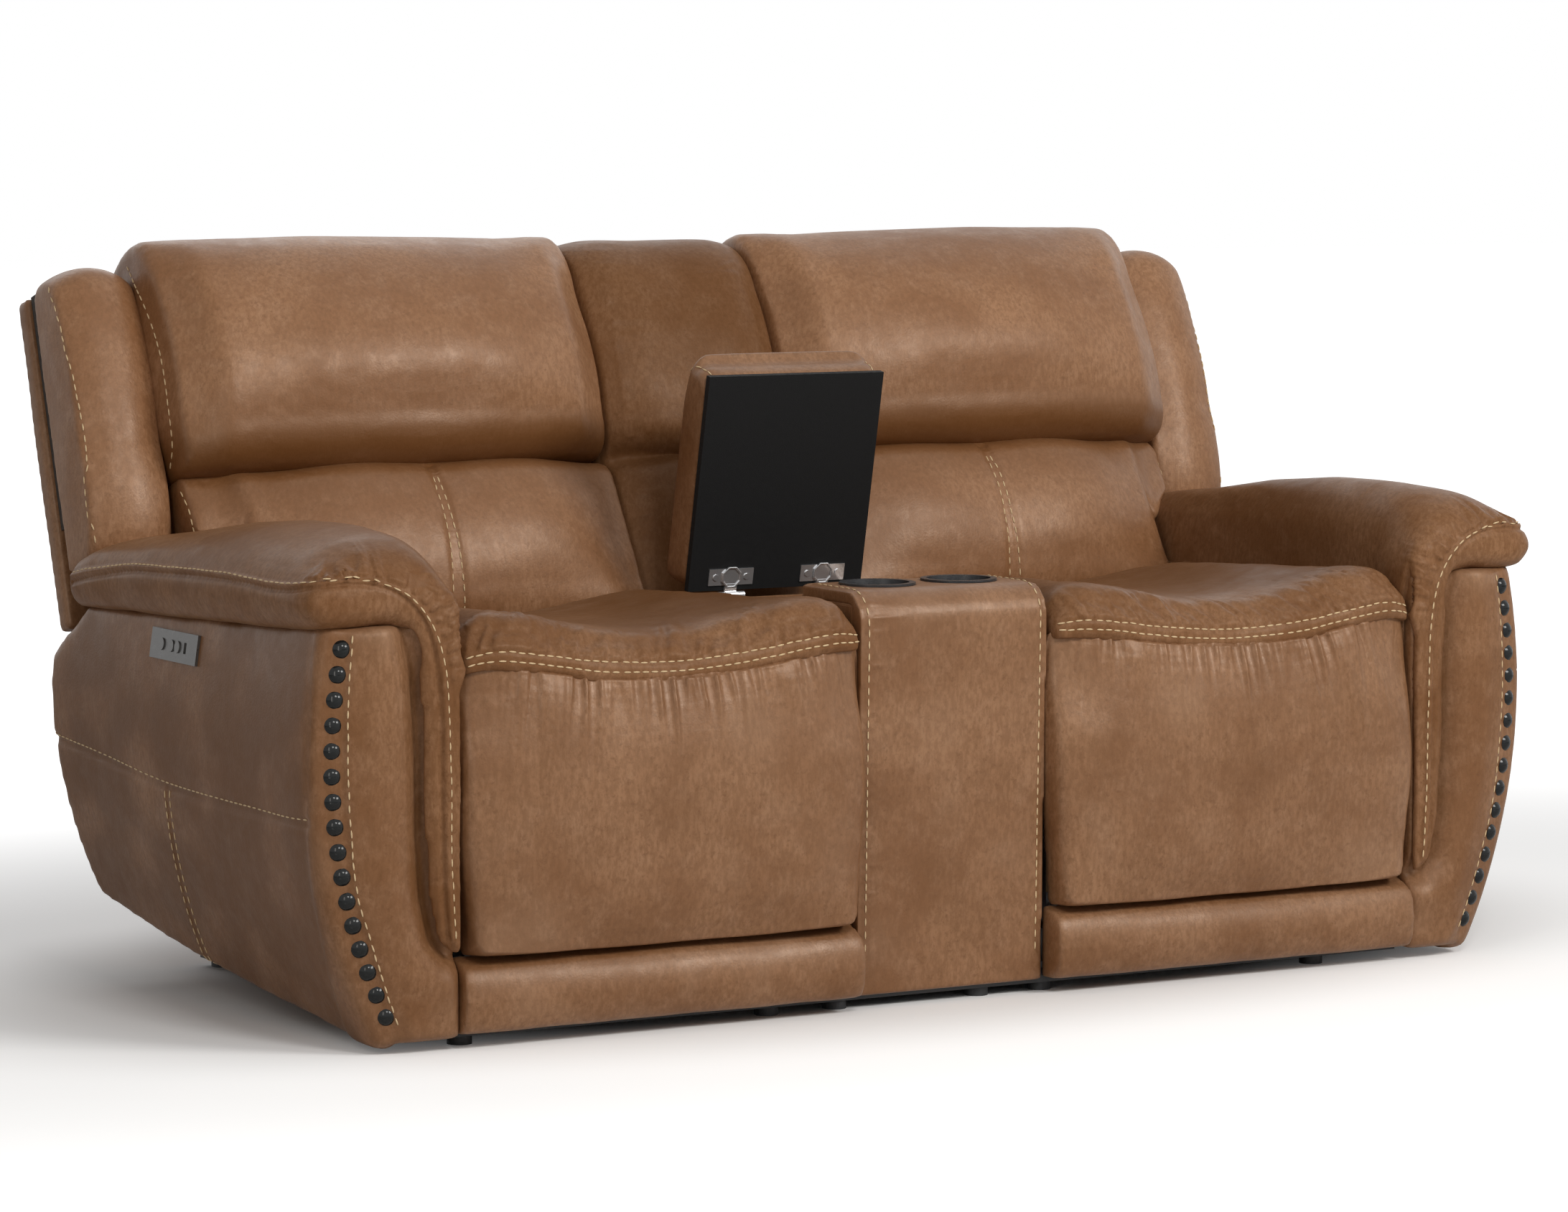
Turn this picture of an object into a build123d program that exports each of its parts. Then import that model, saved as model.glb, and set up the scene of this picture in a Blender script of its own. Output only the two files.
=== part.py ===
from build123d import *
import os
from math import asin, atan2, cos, degrees, hypot, radians, sin, sqrt

# Power reclining loveseat with a storage console between its two seats.
# Millimetres. X runs to the right as seen from the front, Y to the rear, Z up, floor at Z 0.

# Layout across the width
CONSOLE_WIDTH = 296.0
SEAT_WIDTH = 600.0
SIDE_GAP = 4.0
ARM_WIDTH = 199.0
PAD_OVERHANG = 15.0

# Arms: a barrel side of one radius, cut away at the rear for the reclining wing
ARM_BARREL_R = 785.0
ARM_BARREL_Z = 380.0
ARM_FRONT_Y = -498.0
ARM_TOP_FRONT_Z = 556.0
ARM_REAR_Y = 380.0
ARM_CORNER_R = 40.0
PAD_FRONT_Y = -510.0
PAD_REAR_Y = 300.0
PAD_CROWN_Z = 668.0
PAD_ROLL = 70.0
NAIL_COUNT = 16
NAIL_DIAMETER = 25.0
NAIL_LOW_Z = 42.0
NAIL_HIGH_Z = 533.0
NAIL_YAW = 60.0

# Switch plate on the outer side of each arm
PLATE_LENGTH = 150.0
PLATE_HEIGHT = 41.0
PLATE_THICKNESS = 4.0
PLATE_Y = -40.0
PLATE_Z = 495.0
BUTTON_DIAMETER = 16.0
BUTTON_TRAVEL = 1.5
BUTTON_SHARES = (0.258, 0.466, 0.598)
PORT_SHARE = 0.75

# Base frame and feet
OUTER_FOOT_INSETS = (22.0, 129.0)
INNER_FOOT_INSETS = (118.0, 12.0)
CONSOLE_FOOT_X = 62.0
FOOT_DIAMETER = 33.0
FOOT_HEIGHT = 12.0
FRONT_FOOT_Y = -445.0
REAR_FOOT_Y = 300.0
RAIL_TOP_Z = 32.0

# Seats
SEAT_FRAME_Z = 338.0
SEAT_DECK_Z = 376.0
SEAT_REAR_Y = 76.0
SEAT_LIP_Z = 481.0
SEAT_LIP_Y = -503.0
SEAT_BOLSTER_Z = 545.0
SEAT_DISH_Z = 517.0

# Leg rest pad, hanging below the seat lip
LEG_PAD_LOW_Z = 124.0
LEG_PAD_HIGH_Z = 478.0
LEG_PAD_REAR_Y = -465.0
LEG_PAD_FRONT_Y = -526.6
LEG_PAD_TOP_FALL = 23.0
LEG_BOARD = 12.0
TOE_RAIL_FRONT_Y = -490.0
TOE_RAIL_REAR_Y = -464.0
TOE_RAIL_LOW_Z = 20.0
TOE_RAIL_HIGH_Z = 118.0

# Leg rest linkage in the side view: closed pivots, and where the leg rest pivot ends when open
LIFT_PIVOT = (-210.0, 270.0)
KNEE_PIVOT = (-380.0, 130.0)
LEG_PIVOT = (-435.0, 395.0)
LEG_PIVOT_OPEN = (-650.0, 360.0)
LEG_SWING = 90.0
TAIL_LENGTH = 80.0
GUIDE_REACH = 170.0
TOE_LENGTH = 60.0
TIE_DROP = 50.0
LINK_WIDTH = 24.0
LINK_THICKNESS = 4.0
LINK_PITCH = 6.0
PLATE_INSET = 12.0
PIN_R = 6.0
PIN_CLEARANCE = 0.05
CRANK_LENGTH = 110.0

# Back, drawn on an axis that leans from the recline pivot
RECLINE_PIVOT = (240.0, 300.0)
BACK_LEAN = 17.5
BACK_REAR_V = -83.0
SHELL_FRONT_V = -48.0
FRAME_FRONT_V = -8.0
BACK_LOW_U = 110.0
CREASE_U = 381.0
FRAME_TOP_U = 690.0
HEAD_TOP_U = 735.0
BACK_OUTER_X = 815.0
WING_INNER_X = 822.0
WING_OUTER_X = 945.0
WING_LOW_U = 334.0
WING_TOP_U = 705.0
SHELL_WIDE_U = 210.0

# Console
CONSOLE_FRONT_Y = -490.0
CONSOLE_TOP_Z = 567.0
CONSOLE_NOSE_R = 45.0
CONSOLE_WALL = 22.0
BIN_WALL = 12.0
BIN_FRONT_Y = -330.0
BIN_REAR_Y = -20.0
BIN_RIM_Z = 520.0
BIN_FLOOR_Z = 322.0
HINGE_DECK_Z = 505.0
CUP_X = 65.0
CUP_Y = -392.0
CUP_FLANGE_DIAMETER = 105.0
CUP_OUTER_DIAMETER = 94.0
CUP_DEPTH = 76.0
LID_HINGE = (-2.0, 522.0)
LID_OPEN = 78.0
LID_LENGTH = 320.0
LID_WIDTH = 294.0
LID_THICKNESS = 65.0
HINGE_X = 75.0

SEAT_IN = CONSOLE_WIDTH / 2 + SIDE_GAP
SEAT_OUT = SEAT_IN + SEAT_WIDTH
ARM_IN = SEAT_OUT + SIDE_GAP
ARM_OUT = ARM_IN + ARM_WIDTH
PAD_OUT = ARM_OUT + PAD_OVERHANG
SEAT_MID = (SEAT_IN + SEAT_OUT) / 2
FOOT_X = (
    OUTER_FOOT_INSETS[0] - SEAT_OUT,
    -SEAT_IN - INNER_FOOT_INSETS[0],
    -SEAT_IN - INNER_FOOT_INSETS[1],
    CONSOLE_FOOT_X,
    SEAT_IN + INNER_FOOT_INSETS[1],
    SEAT_OUT - OUTER_FOOT_INSETS[1],
)


def box(x0, x1, y0, y1, z0, z1):
    return Solid.make_box(x1 - x0, y1 - y0, z1 - z0, Plane((x0, y0, z0)))


def outline(place, first, *moves):
    """Closed wire of lines and arcs. A move is an end point, or an arc's middle and end points."""
    edges = []
    here = first
    closing = () if moves[-1][-1] == first else (first,)
    for move in moves + closing:
        if isinstance(move[0], tuple):
            edges.append(Edge.make_three_point_arc(place(*here), place(*move[0]), place(*move[1])))
            here = move[1]
        else:
            edges.append(Edge.make_line(place(*here), place(*move)))
            here = move
    return Wire(edges)


def side(x):
    return lambda y, z: (x, y, z)


def front(y):
    return lambda x, z: (x, y, z)


def level(z):
    return lambda x, y: (x, y, z)


def back(x):
    lean = radians(BACK_LEAN)
    y0, z0 = RECLINE_PIVOT
    return lambda u, v: (
        x,
        y0 + u * sin(lean) - v * cos(lean),
        z0 + u * cos(lean) + v * sin(lean),
    )


def prism(wire, dx=0.0, dy=0.0, dz=0.0):
    return Solid.extrude(Face(wire), Vector(dx, dy, dz))


def rod_x(y, z, radius, x0, x1):
    return Solid.make_cylinder(radius, x1 - x0, Plane((x0, y, z), x_dir=(0, 1, 0), z_dir=(1, 0, 0)))


def rod_y(x, z, radius, y0, y1):
    return Solid.make_cylinder(radius, y1 - y0, Plane((x, y0, z), x_dir=(1, 0, 0), z_dir=(0, 1, 0)))


def rod_z(x, y, radius, z0, z1):
    return Solid.make_cylinder(radius, z1 - z0, Plane((x, y, z0)))


def link(p, q, x0, x1, width=LINK_WIDTH):
    """Flat bar with round ends between two pivots of the side view."""
    length = hypot(q[0] - p[0], q[1] - p[1])
    a, b = (q[0] - p[0]) / length, (q[1] - p[1]) / length
    r = width / 2

    def at(s, t):
        return (p[0] + a * s - b * t, p[1] + b * s + a * t)

    wire = outline(
        side(x0),
        at(0, r),
        (at(-r, 0), at(0, -r)),
        at(length, -r),
        (at(length + r, 0), at(length, r)),
    )
    return prism(wire, dx=x1 - x0)


def mirrored(solids):
    return [s.mirror(Plane.YZ) for s in solids]


def save(name, solids):
    shape = solids[0] if len(solids) == 1 else Compound(children=list(solids))
    export_step(shape, f"parts/{name}.step")


def save_pair(name, solids):
    save("right_" + name, solids)
    save("left_" + name, mirrored(solids))


def barrel_x(z):
    return ARM_OUT - ARM_BARREL_R + sqrt(ARM_BARREL_R**2 - (z - ARM_BARREL_Z) ** 2)


def link_plane(outer, k):
    """X range of flat link layer k, counted inwards from the side plate (layer 0)."""
    if outer:
        x1 = SEAT_OUT - PLATE_INSET - LINK_PITCH * k
        return x1 - LINK_THICKNESS, x1
    x0 = SEAT_IN + PLATE_INSET + LINK_PITCH * k
    return x0, x0 + LINK_THICKNESS


def pin(outer, centre, first, last, radius=PIN_R, proud=0.0):
    """Round pin from link layer first to layer last, standing proud of the last by a little."""
    a0, a1 = link_plane(outer, first)
    b0, b1 = link_plane(outer, last)
    inward = last > first
    low, high = min(a0, b0), max(a1, b1)
    if outer == inward:
        low -= proud
    else:
        high += proud
    return rod_x(centre[0], centre[1], radius, low, high)


def pin_hole(outer, centre, layer):
    x0, x1 = link_plane(outer, layer)
    return rod_x(centre[0], centre[1], PIN_R + PIN_CLEARANCE, x0 - 1, x1 + 1)


def pin_head(outer, centre, layer, outward):
    """Rivet head just clear of a link layer's face."""
    x0, x1 = link_plane(outer, layer)
    on_high_side = outer == outward
    start = x1 + 0.3 if on_high_side else x0 - 1.6
    return rod_x(centre[0], centre[1], PIN_R + 3, start, start + 1.3)


# Leg rest linkage: the lift arm and reach arm carry the leg rest, the guide and tie links steer it.
# Pivots come from the closed and the open position.
def polar(centre, radius, angle):
    return (centre[0] + radius * cos(angle), centre[1] + radius * sin(angle))


def bearing(p, q):
    return atan2(q[1] - p[1], q[0] - p[0])


def distance(p, q):
    return hypot(q[0] - p[0], q[1] - p[1])


LIFT_LENGTH = distance(LIFT_PIVOT, KNEE_PIVOT)
REACH_LENGTH = distance(KNEE_PIVOT, LEG_PIVOT)
TOE_PIVOT = polar(KNEE_PIVOT, TOE_LENGTH, bearing(LIFT_PIVOT, KNEE_PIVOT))
TAIL_PIVOT = polar(KNEE_PIVOT, TAIL_LENGTH, bearing(LEG_PIVOT, KNEE_PIVOT))

OPEN_REACH = distance(LIFT_PIVOT, LEG_PIVOT_OPEN)
OPEN_KNEE_COS = (LIFT_LENGTH**2 + OPEN_REACH**2 - REACH_LENGTH**2) / (2 * LIFT_LENGTH * OPEN_REACH)
OPEN_LIFT = bearing(LIFT_PIVOT, LEG_PIVOT_OPEN) + radians(90 - degrees(asin(OPEN_KNEE_COS)))
KNEE_OPEN = polar(LIFT_PIVOT, LIFT_LENGTH, OPEN_LIFT)
TAIL_OPEN = polar(KNEE_OPEN, TAIL_LENGTH, bearing(LEG_PIVOT_OPEN, KNEE_OPEN))
TOE_OPEN = polar(KNEE_OPEN, TOE_LENGTH, OPEN_LIFT)
LIFT_TURN = OPEN_LIFT - bearing(LIFT_PIVOT, KNEE_PIVOT) - radians(360)

TAIL_RUN = distance(TAIL_PIVOT, TAIL_OPEN)
GUIDE_PIVOT = (
    (TAIL_PIVOT[0] + TAIL_OPEN[0]) / 2 + GUIDE_REACH * (TAIL_OPEN[1] - TAIL_PIVOT[1]) / TAIL_RUN,
    (TAIL_PIVOT[1] + TAIL_OPEN[1]) / 2 - GUIDE_REACH * (TAIL_OPEN[0] - TAIL_PIVOT[0]) / TAIL_RUN,
)


def tie_error(offset):
    closed = distance(TOE_PIVOT, (LEG_PIVOT[0] + offset, LEG_PIVOT[1] - TIE_DROP))
    opened = distance(TOE_OPEN, (LEG_PIVOT_OPEN[0] - TIE_DROP, LEG_PIVOT_OPEN[1] - offset))
    return closed - opened


low, high = 0.0, 60.0
for _ in range(40):
    middle = (low + high) / 2
    if tie_error(middle) < 0:
        low = middle
    else:
        high = middle
TIE_PIVOT = (LEG_PIVOT[0] + middle, LEG_PIVOT[1] - TIE_DROP)
CRANK_PIN = polar(LIFT_PIVOT, CRANK_LENGTH, radians(270) - LIFT_TURN / 2)

os.makedirs("parts", exist_ok=True)

# Feet and the welded base frame
feet = []
for x in FOOT_X:
    feet.append(rod_z(x, FRONT_FOOT_Y, FOOT_DIAMETER / 2, 0, FOOT_HEIGHT))
    feet.append(rod_z(x, REAR_FOOT_Y, FOOT_DIAMETER / 2, 0, FOOT_HEIGHT))
save("feet", feet)

front_rail_y = TOE_RAIL_REAR_Y + 50
rear_rail_y = REAR_FOOT_Y - 20
base = [
    box(-ARM_IN, ARM_IN, TOE_RAIL_REAR_Y, front_rail_y, FOOT_HEIGHT, RAIL_TOP_Z),
    box(-ARM_IN, ARM_IN, rear_rail_y, REAR_FOOT_Y + 20, FOOT_HEIGHT, RAIL_TOP_Z),
]
for outer in (True, False):
    x0, x1 = link_plane(outer, 0)
    runner = box(x0 - 8, x1 + 8, front_rail_y, rear_rail_y, FOOT_HEIGHT, RAIL_TOP_Z)
    base.extend([runner, runner.mirror(Plane.YZ)])
save("base_frame", base)

# Fixed skirt that closes the rear under each back
skirt = box(SEAT_IN, ARM_IN, REAR_FOOT_Y, REAR_FOOT_Y + 12, RAIL_TOP_Z, 250)
save("rear_skirts", [skirt, *mirrored([skirt])])

# Padded toe rail under each leg rest
toe = outline(
    side(SEAT_IN + 5),
    (TOE_RAIL_REAR_Y, TOE_RAIL_LOW_Z),
    (TOE_RAIL_REAR_Y, TOE_RAIL_HIGH_Z - 6),
    ((TOE_RAIL_REAR_Y - 4, TOE_RAIL_HIGH_Z), (TOE_RAIL_REAR_Y - 12, TOE_RAIL_HIGH_Z)),
    ((TOE_RAIL_FRONT_Y - 3, TOE_RAIL_HIGH_Z - 36), (TOE_RAIL_FRONT_Y + 6, TOE_RAIL_LOW_Z)),
)
toe_rail = prism(toe, dx=SEAT_WIDTH - 6)
save("toe_rails", [toe_rail, *mirrored([toe_rail])])

# Side plates on the base runners, with cross bar and stubs out to arm and console
plates = []
for outer in (True, False):
    x0, x1 = link_plane(outer, 0)
    wire = outline(
        side(x0),
        (-290.0, RAIL_TOP_Z),
        (RECLINE_PIVOT[0] + 45, RAIL_TOP_Z),
        (RECLINE_PIVOT[0] + 45, RECLINE_PIVOT[1] + 10),
        (RECLINE_PIVOT[0] + 20, RECLINE_PIVOT[1] + 38),
        (-290.0, SEAT_FRAME_Z),
    )
    plate = prism(wire, dx=LINK_THICKNESS)
    for pivot in (LIFT_PIVOT, GUIDE_PIVOT, RECLINE_PIVOT):
        plate = plate - pin_hole(outer, pivot, 0)
    plates.append(plate.solid())
    stub_x = (x1, ARM_IN) if outer else (CONSOLE_WIDTH / 2, x0)
    for y in (-150.0, 150.0):
        plates.append(box(*stub_x, y, y + 30, 120, 145))
plates.append(box(link_plane(False, 0)[1], link_plane(True, 0)[0], 225, 245, 150, 172))
save_pair("side_plates", plates)

# Lift arms on the drive tube, with the actuator crank
arms = []
for outer in (True, False):
    x0, x1 = link_plane(outer, 1)
    arm = link(LIFT_PIVOT, TOE_PIVOT, x0, x1)
    arm = arm + pin(outer, LIFT_PIVOT, 1, 0, proud=2.0) + pin_head(outer, LIFT_PIVOT, 0, True)
    arm = arm + pin(outer, KNEE_PIVOT, 1, 2, proud=1.6) + pin_head(outer, KNEE_PIVOT, 2, False)
    arm = arm + pin(outer, TOE_PIVOT, 1, 3, proud=1.6) + pin_head(outer, TOE_PIVOT, 3, False)
    arms.append(arm.solid())
drive = rod_x(*LIFT_PIVOT, 12, link_plane(False, 1)[1], link_plane(True, 1)[0])
for x in (SEAT_MID - 20, SEAT_MID + 14):
    drive = drive + link(LIFT_PIVOT, CRANK_PIN, x, x + 6, 30)
drive = drive + rod_x(*CRANK_PIN, 5, SEAT_MID - 20, SEAT_MID + 20)
save_pair("lift_arms", [drive.solid(), *arms])

# Reach arms from the knee to the leg rest, guide links to their tails, tie links to the leg rest
reach_arms, guides, ties = [], [], []
for outer in (True, False):
    x0, x1 = link_plane(outer, 2)
    reach = link(TAIL_PIVOT, LEG_PIVOT, x0, x1) - pin_hole(outer, KNEE_PIVOT, 2)
    reach = reach - pin_hole(outer, TAIL_PIVOT, 2)
    reach = reach + pin(outer, LEG_PIVOT, 2, 4, proud=1.6) + pin_head(outer, LEG_PIVOT, 4, False)
    reach_arms.append(reach.solid())
    x0, x1 = link_plane(outer, 1)
    guide = link(GUIDE_PIVOT, TAIL_PIVOT, x0, x1) - pin_hole(outer, TAIL_PIVOT, 1)
    guide = guide + pin(outer, GUIDE_PIVOT, 1, 0, proud=2.0) + pin_head(outer, GUIDE_PIVOT, 0, True)
    guides.append(guide.solid())
    x0, x1 = link_plane(outer, 3)
    tie = link(TOE_PIVOT, TIE_PIVOT, x0, x1) - pin_hole(outer, TOE_PIVOT, 3)
    ties.append((tie - pin_hole(outer, TIE_PIVOT, 3)).solid())
save_pair("reach_arms", reach_arms)
save_pair("guide_links", guides)
save_pair("tie_links", ties)

# Leg rest board, its pivot brackets and the padded front
board_rear = LEG_PAD_REAR_Y + LEG_BOARD
leg_board_top = LEG_PAD_HIGH_Z - LEG_PAD_TOP_FALL - 2
leg_board = box(SEAT_IN + 18, SEAT_OUT - 18, LEG_PAD_REAR_Y, board_rear, 135, leg_board_top)

brackets = []
for outer in (True, False):
    x0, x1 = link_plane(outer, 4)
    wire = outline(
        side(x0),
        (board_rear, LEG_PIVOT[1] + 28),
        (board_rear, TIE_PIVOT[1] - 45),
        (board_rear + 13, TIE_PIVOT[1] - 45),
        (TIE_PIVOT[0] + 13, TIE_PIVOT[1] - 7),
        (TIE_PIVOT[0] + 13, TIE_PIVOT[1] + 11),
        (LEG_PIVOT[0] + 10, LEG_PIVOT[1] + 22),
        (LEG_PIVOT[0], LEG_PIVOT[1] + 28),
    )
    bracket = prism(wire, dx=LINK_THICKNESS)
    bracket = bracket - pin_hole(outer, LEG_PIVOT, 4) - pin_hole(outer, TIE_PIVOT, 4)
    flange = box(x0 - 20, x0, board_rear, board_rear + 3, TIE_PIVOT[1] - 45, LEG_PIVOT[1] + 28)
    if not outer:
        flange = box(x1, x1 + 20, board_rear, board_rear + 3, TIE_PIVOT[1] - 45, LEG_PIVOT[1] + 28)
    brackets.append((bracket + flange).solid())
save_pair("leg_frame", [leg_board, *brackets])

sections = []
for z, inset, front_y in (
    (LEG_PAD_LOW_Z, 20.0, LEG_PAD_FRONT_Y + 26),
    (LEG_PAD_LOW_Z + 40, 11.0, LEG_PAD_FRONT_Y + 8),
    (LEG_PAD_HIGH_Z - 130, 0.0, LEG_PAD_FRONT_Y),
    (LEG_PAD_HIGH_Z - 30, 3.0, LEG_PAD_FRONT_Y + 10),
    (LEG_PAD_HIGH_Z, 12.0, LEG_PAD_FRONT_Y + 24),
):
    x0, x1 = SEAT_IN + inset, SEAT_OUT - inset
    sections.append(
        outline(
            level(z),
            (x0, LEG_PAD_REAR_Y),
            (x1, LEG_PAD_REAR_Y),
            (x1, front_y + 26),
            ((x1 - 6, front_y + 13), (x1 - 24, front_y + 7)),
            ((SEAT_MID, front_y), (x0 + 24, front_y + 7)),
            ((x0 + 6, front_y + 13), (x0, front_y + 26)),
        )
    )
# The top falls away to the rear, so that it passes under the seat lip as it swings out
fall = outline(
    side(SEAT_IN - 5),
    (LEG_PAD_FRONT_Y + 24, LEG_PAD_HIGH_Z),
    (LEG_PAD_REAR_Y + 1, LEG_PAD_HIGH_Z - LEG_PAD_TOP_FALL),
    (LEG_PAD_REAR_Y + 1, LEG_PAD_HIGH_Z + 30),
    (LEG_PAD_FRONT_Y + 24, LEG_PAD_HIGH_Z + 30),
)
leg_pad = Solid.make_loft(sections) - prism(fall, dx=SEAT_WIDTH + 10)
save_pair("leg_pad", [leg_pad.solid()])

# Seat frame on the side plates, webbing across it, and the dished cushion with its front lip
rails = []
for outer in (True, False):
    x0, x1 = link_plane(outer, 0)
    rails.append(box(x0 - 8, x1 + 8, -372, 90, SEAT_FRAME_Z, SEAT_DECK_Z))
inner_x, outer_x = link_plane(False, 0)[1] + 8, link_plane(True, 0)[0] - 8
rails.append(box(inner_x, outer_x, -372, -342, SEAT_FRAME_Z, SEAT_DECK_Z))
rails.append(box(inner_x, outer_x, 60, 90, SEAT_FRAME_Z, SEAT_DECK_Z))

straps = []
for k in range(5):
    x = SEAT_IN + 60 + k * (SEAT_WIDTH - 180) / 4
    straps.append(box(x, x + 60, -370, 74, SEAT_DECK_Z, SEAT_DECK_Z + 2))
save_pair("seat_frame", rails + straps)

sections = []
crests = (SEAT_BOLSTER_Z - 22, SEAT_BOLSTER_Z, SEAT_DISH_Z + 8, SEAT_DISH_Z)
for k in range(7):
    x = SEAT_IN + SEAT_WIDTH * k / 6
    lip_y = SEAT_LIP_Y + 14 * abs(k / 3 - 1) ** 4
    crest_z = crests[min(k, 6 - k)]
    sections.append(
        outline(
            side(x),
            (SEAT_REAR_Y, SEAT_DECK_Z + 2),
            (-378.0, SEAT_DECK_Z + 2),
            (-378.0, SEAT_LIP_Z),
            (lip_y + 2, SEAT_LIP_Z),
            ((lip_y + 2, crest_z - 18), (lip_y + 42, crest_z)),
            ((-190.0, crest_z - 10), (SEAT_REAR_Y, crest_z - 24)),
        )
    )
save_pair("seat_cushion", [Solid.make_loft(sections)])

# Linear actuator: fixed gearbox, motor and tube, and the rod that pushes the crank
rod_z0 = LIFT_PIVOT[1] - CRANK_LENGTH * (1 + cos(LIFT_TURN / 2)) / 2
tube = rod_y(SEAT_MID, rod_z0, 15, -120, 165) - rod_y(SEAT_MID, rod_z0, 8.1, -121, 60)
housing = box(SEAT_MID - 35, SEAT_MID + 35, 165, 225, rod_z0 - 36, rod_z0 + 36)
motor = rod_x(195, rod_z0 - 8, 22, SEAT_MID + 35, SEAT_MID + 135)
inlet = box(SEAT_MID - 47, SEAT_MID - 35, 185, 205, rod_z0 - 8, rod_z0 + 8)
save_pair("actuator", [(tube + housing + motor + inlet).solid()])

thrust = rod_y(SEAT_MID, rod_z0, 8, CRANK_PIN[0] + 8, 20)
eye = box(SEAT_MID - 12, SEAT_MID + 12, CRANK_PIN[0] - 14, CRANK_PIN[0] + 16, rod_z0 - 15, rod_z0 + 15)
slot = box(SEAT_MID - 13, SEAT_MID + 13, CRANK_PIN[0] - 5.4, CRANK_PIN[0] + 5.4, rod_z0 - 7, rod_z0 + 7)
save_pair("actuator_rod", [(thrust + eye - slot).solid()])

# Back: pivot brackets, timber frame, padded outside, lower cushion, head cushion and wing
brackets = []
for outer in (True, False):
    x0, x1 = link_plane(outer, 1)
    at = back(x0)
    wire = outline(
        at,
        (-20.0, -12.0),
        ((-26.0, 2.0), (-12.0, 20.0)),
        (12.0, 20.0),
        (100.0, -12.0),
        (170.0, -12.0),
        (170.0, -46.0),
        (60.0, -46.0),
    )
    bracket = prism(wire, dx=LINK_THICKNESS)
    bracket = bracket + pin(outer, RECLINE_PIVOT, 1, 0, proud=2.0)
    brackets.append((bracket + pin_head(outer, RECLINE_PIVOT, 0, True)).solid())


def back_bar(x0, x1, u0, u1, v0=SHELL_FRONT_V, v1=FRAME_FRONT_V):
    return prism(outline(back(x0), (u0, v0), (u1, v0), (u1, v1), (u0, v1)), dx=x1 - x0)


post_in, post_out = link_plane(False, 1)[1], link_plane(True, 1)[0]
mid_low, mid_high = CREASE_U - 30, CREASE_U + 15
wing_post = WING_OUTER_X - 55
frame = [
    back_bar(post_in, post_in + 40, 62, FRAME_TOP_U),
    back_bar(post_out - 40, post_out, 62, FRAME_TOP_U),
    back_bar(wing_post, wing_post + 40, mid_low, FRAME_TOP_U),
    back_bar(post_in + 40, post_out - 40, 80, 125),
]
for u0, u1 in ((mid_low, mid_high), (FRAME_TOP_U - 45, FRAME_TOP_U)):
    frame.append(back_bar(post_in + 40, post_out - 40, u0, u1))
    frame.append(back_bar(post_out, wing_post, u0, u1))
save_pair("back_frame", frame + brackets)

shell = back_bar(SEAT_IN, SEAT_OUT, 60, SHELL_WIDE_U + 5, BACK_REAR_V, SHELL_FRONT_V)
shell = shell + back_bar(SEAT_IN, WING_OUTER_X - 5, SHELL_WIDE_U, FRAME_TOP_U, BACK_REAR_V, SHELL_FRONT_V)
save_pair("back_shell", [shell.solid()])

sections = []
bulges = (-14.0, 14.0, 28.0, 24.0)
for k in range(7):
    x = SEAT_IN + SEAT_WIDTH * k / 6
    bulge = bulges[min(k, 6 - k)]
    sections.append(
        outline(
            back(x),
            (BACK_LOW_U, FRAME_FRONT_V),
            (BACK_LOW_U, 186.0),
            ((BACK_LOW_U + 30, 200 + bulge / 8), (BACK_LOW_U + 80, 202 + bulge / 2)),
            ((BACK_LOW_U + 160, 196 + bulge), (CREASE_U - 28, 172 + bulge)),
            ((CREASE_U - 15, 156 + bulge), (CREASE_U - 9, 130.0)),
            (CREASE_U - 9, FRAME_FRONT_V),
        )
    )
shoulder = outline(
    back(SEAT_OUT),
    (WING_LOW_U, FRAME_FRONT_V),
    (WING_LOW_U, 167.0),
    ((CREASE_U - 37, 163.0), (CREASE_U - 28, 158.0)),
    ((CREASE_U - 15, 142.0), (CREASE_U - 9, 130.0)),
    (CREASE_U - 9, FRAME_FRONT_V),
)
save_pair("back_cushion", [Solid.make_loft(sections), prism(shoulder, dx=BACK_OUTER_X - SEAT_OUT)])

sections = []
bulges = (-2.0, 20.0, 31.0, 34.0)
for k in range(7):
    x = SEAT_IN + (BACK_OUTER_X - SEAT_IN) * k / 6
    bulge = bulges[min(k, 6 - k)]
    rise = -5 * abs(k / 3 - 1) ** 4
    top = HEAD_TOP_U + rise
    sections.append(
        outline(
            back(x),
            (CREASE_U + 3, FRAME_FRONT_V),
            (CREASE_U + 3, 140.0),
            ((CREASE_U + 12, 166 + bulge), (CREASE_U + 60, 182 + bulge)),
            ((CREASE_U + 150, 182 + bulge), (top - 90, 154 + bulge)),
            ((top - 28, 118 + bulge / 2), (top, 50.0)),
            ((top - 8, -10.0), (FRAME_TOP_U + 8, SHELL_FRONT_V)),
            (FRAME_TOP_U + 1, SHELL_FRONT_V),
            (FRAME_TOP_U + 1, FRAME_FRONT_V),
        )
    )
save_pair("head_cushion", [Solid.make_loft(sections)])

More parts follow.
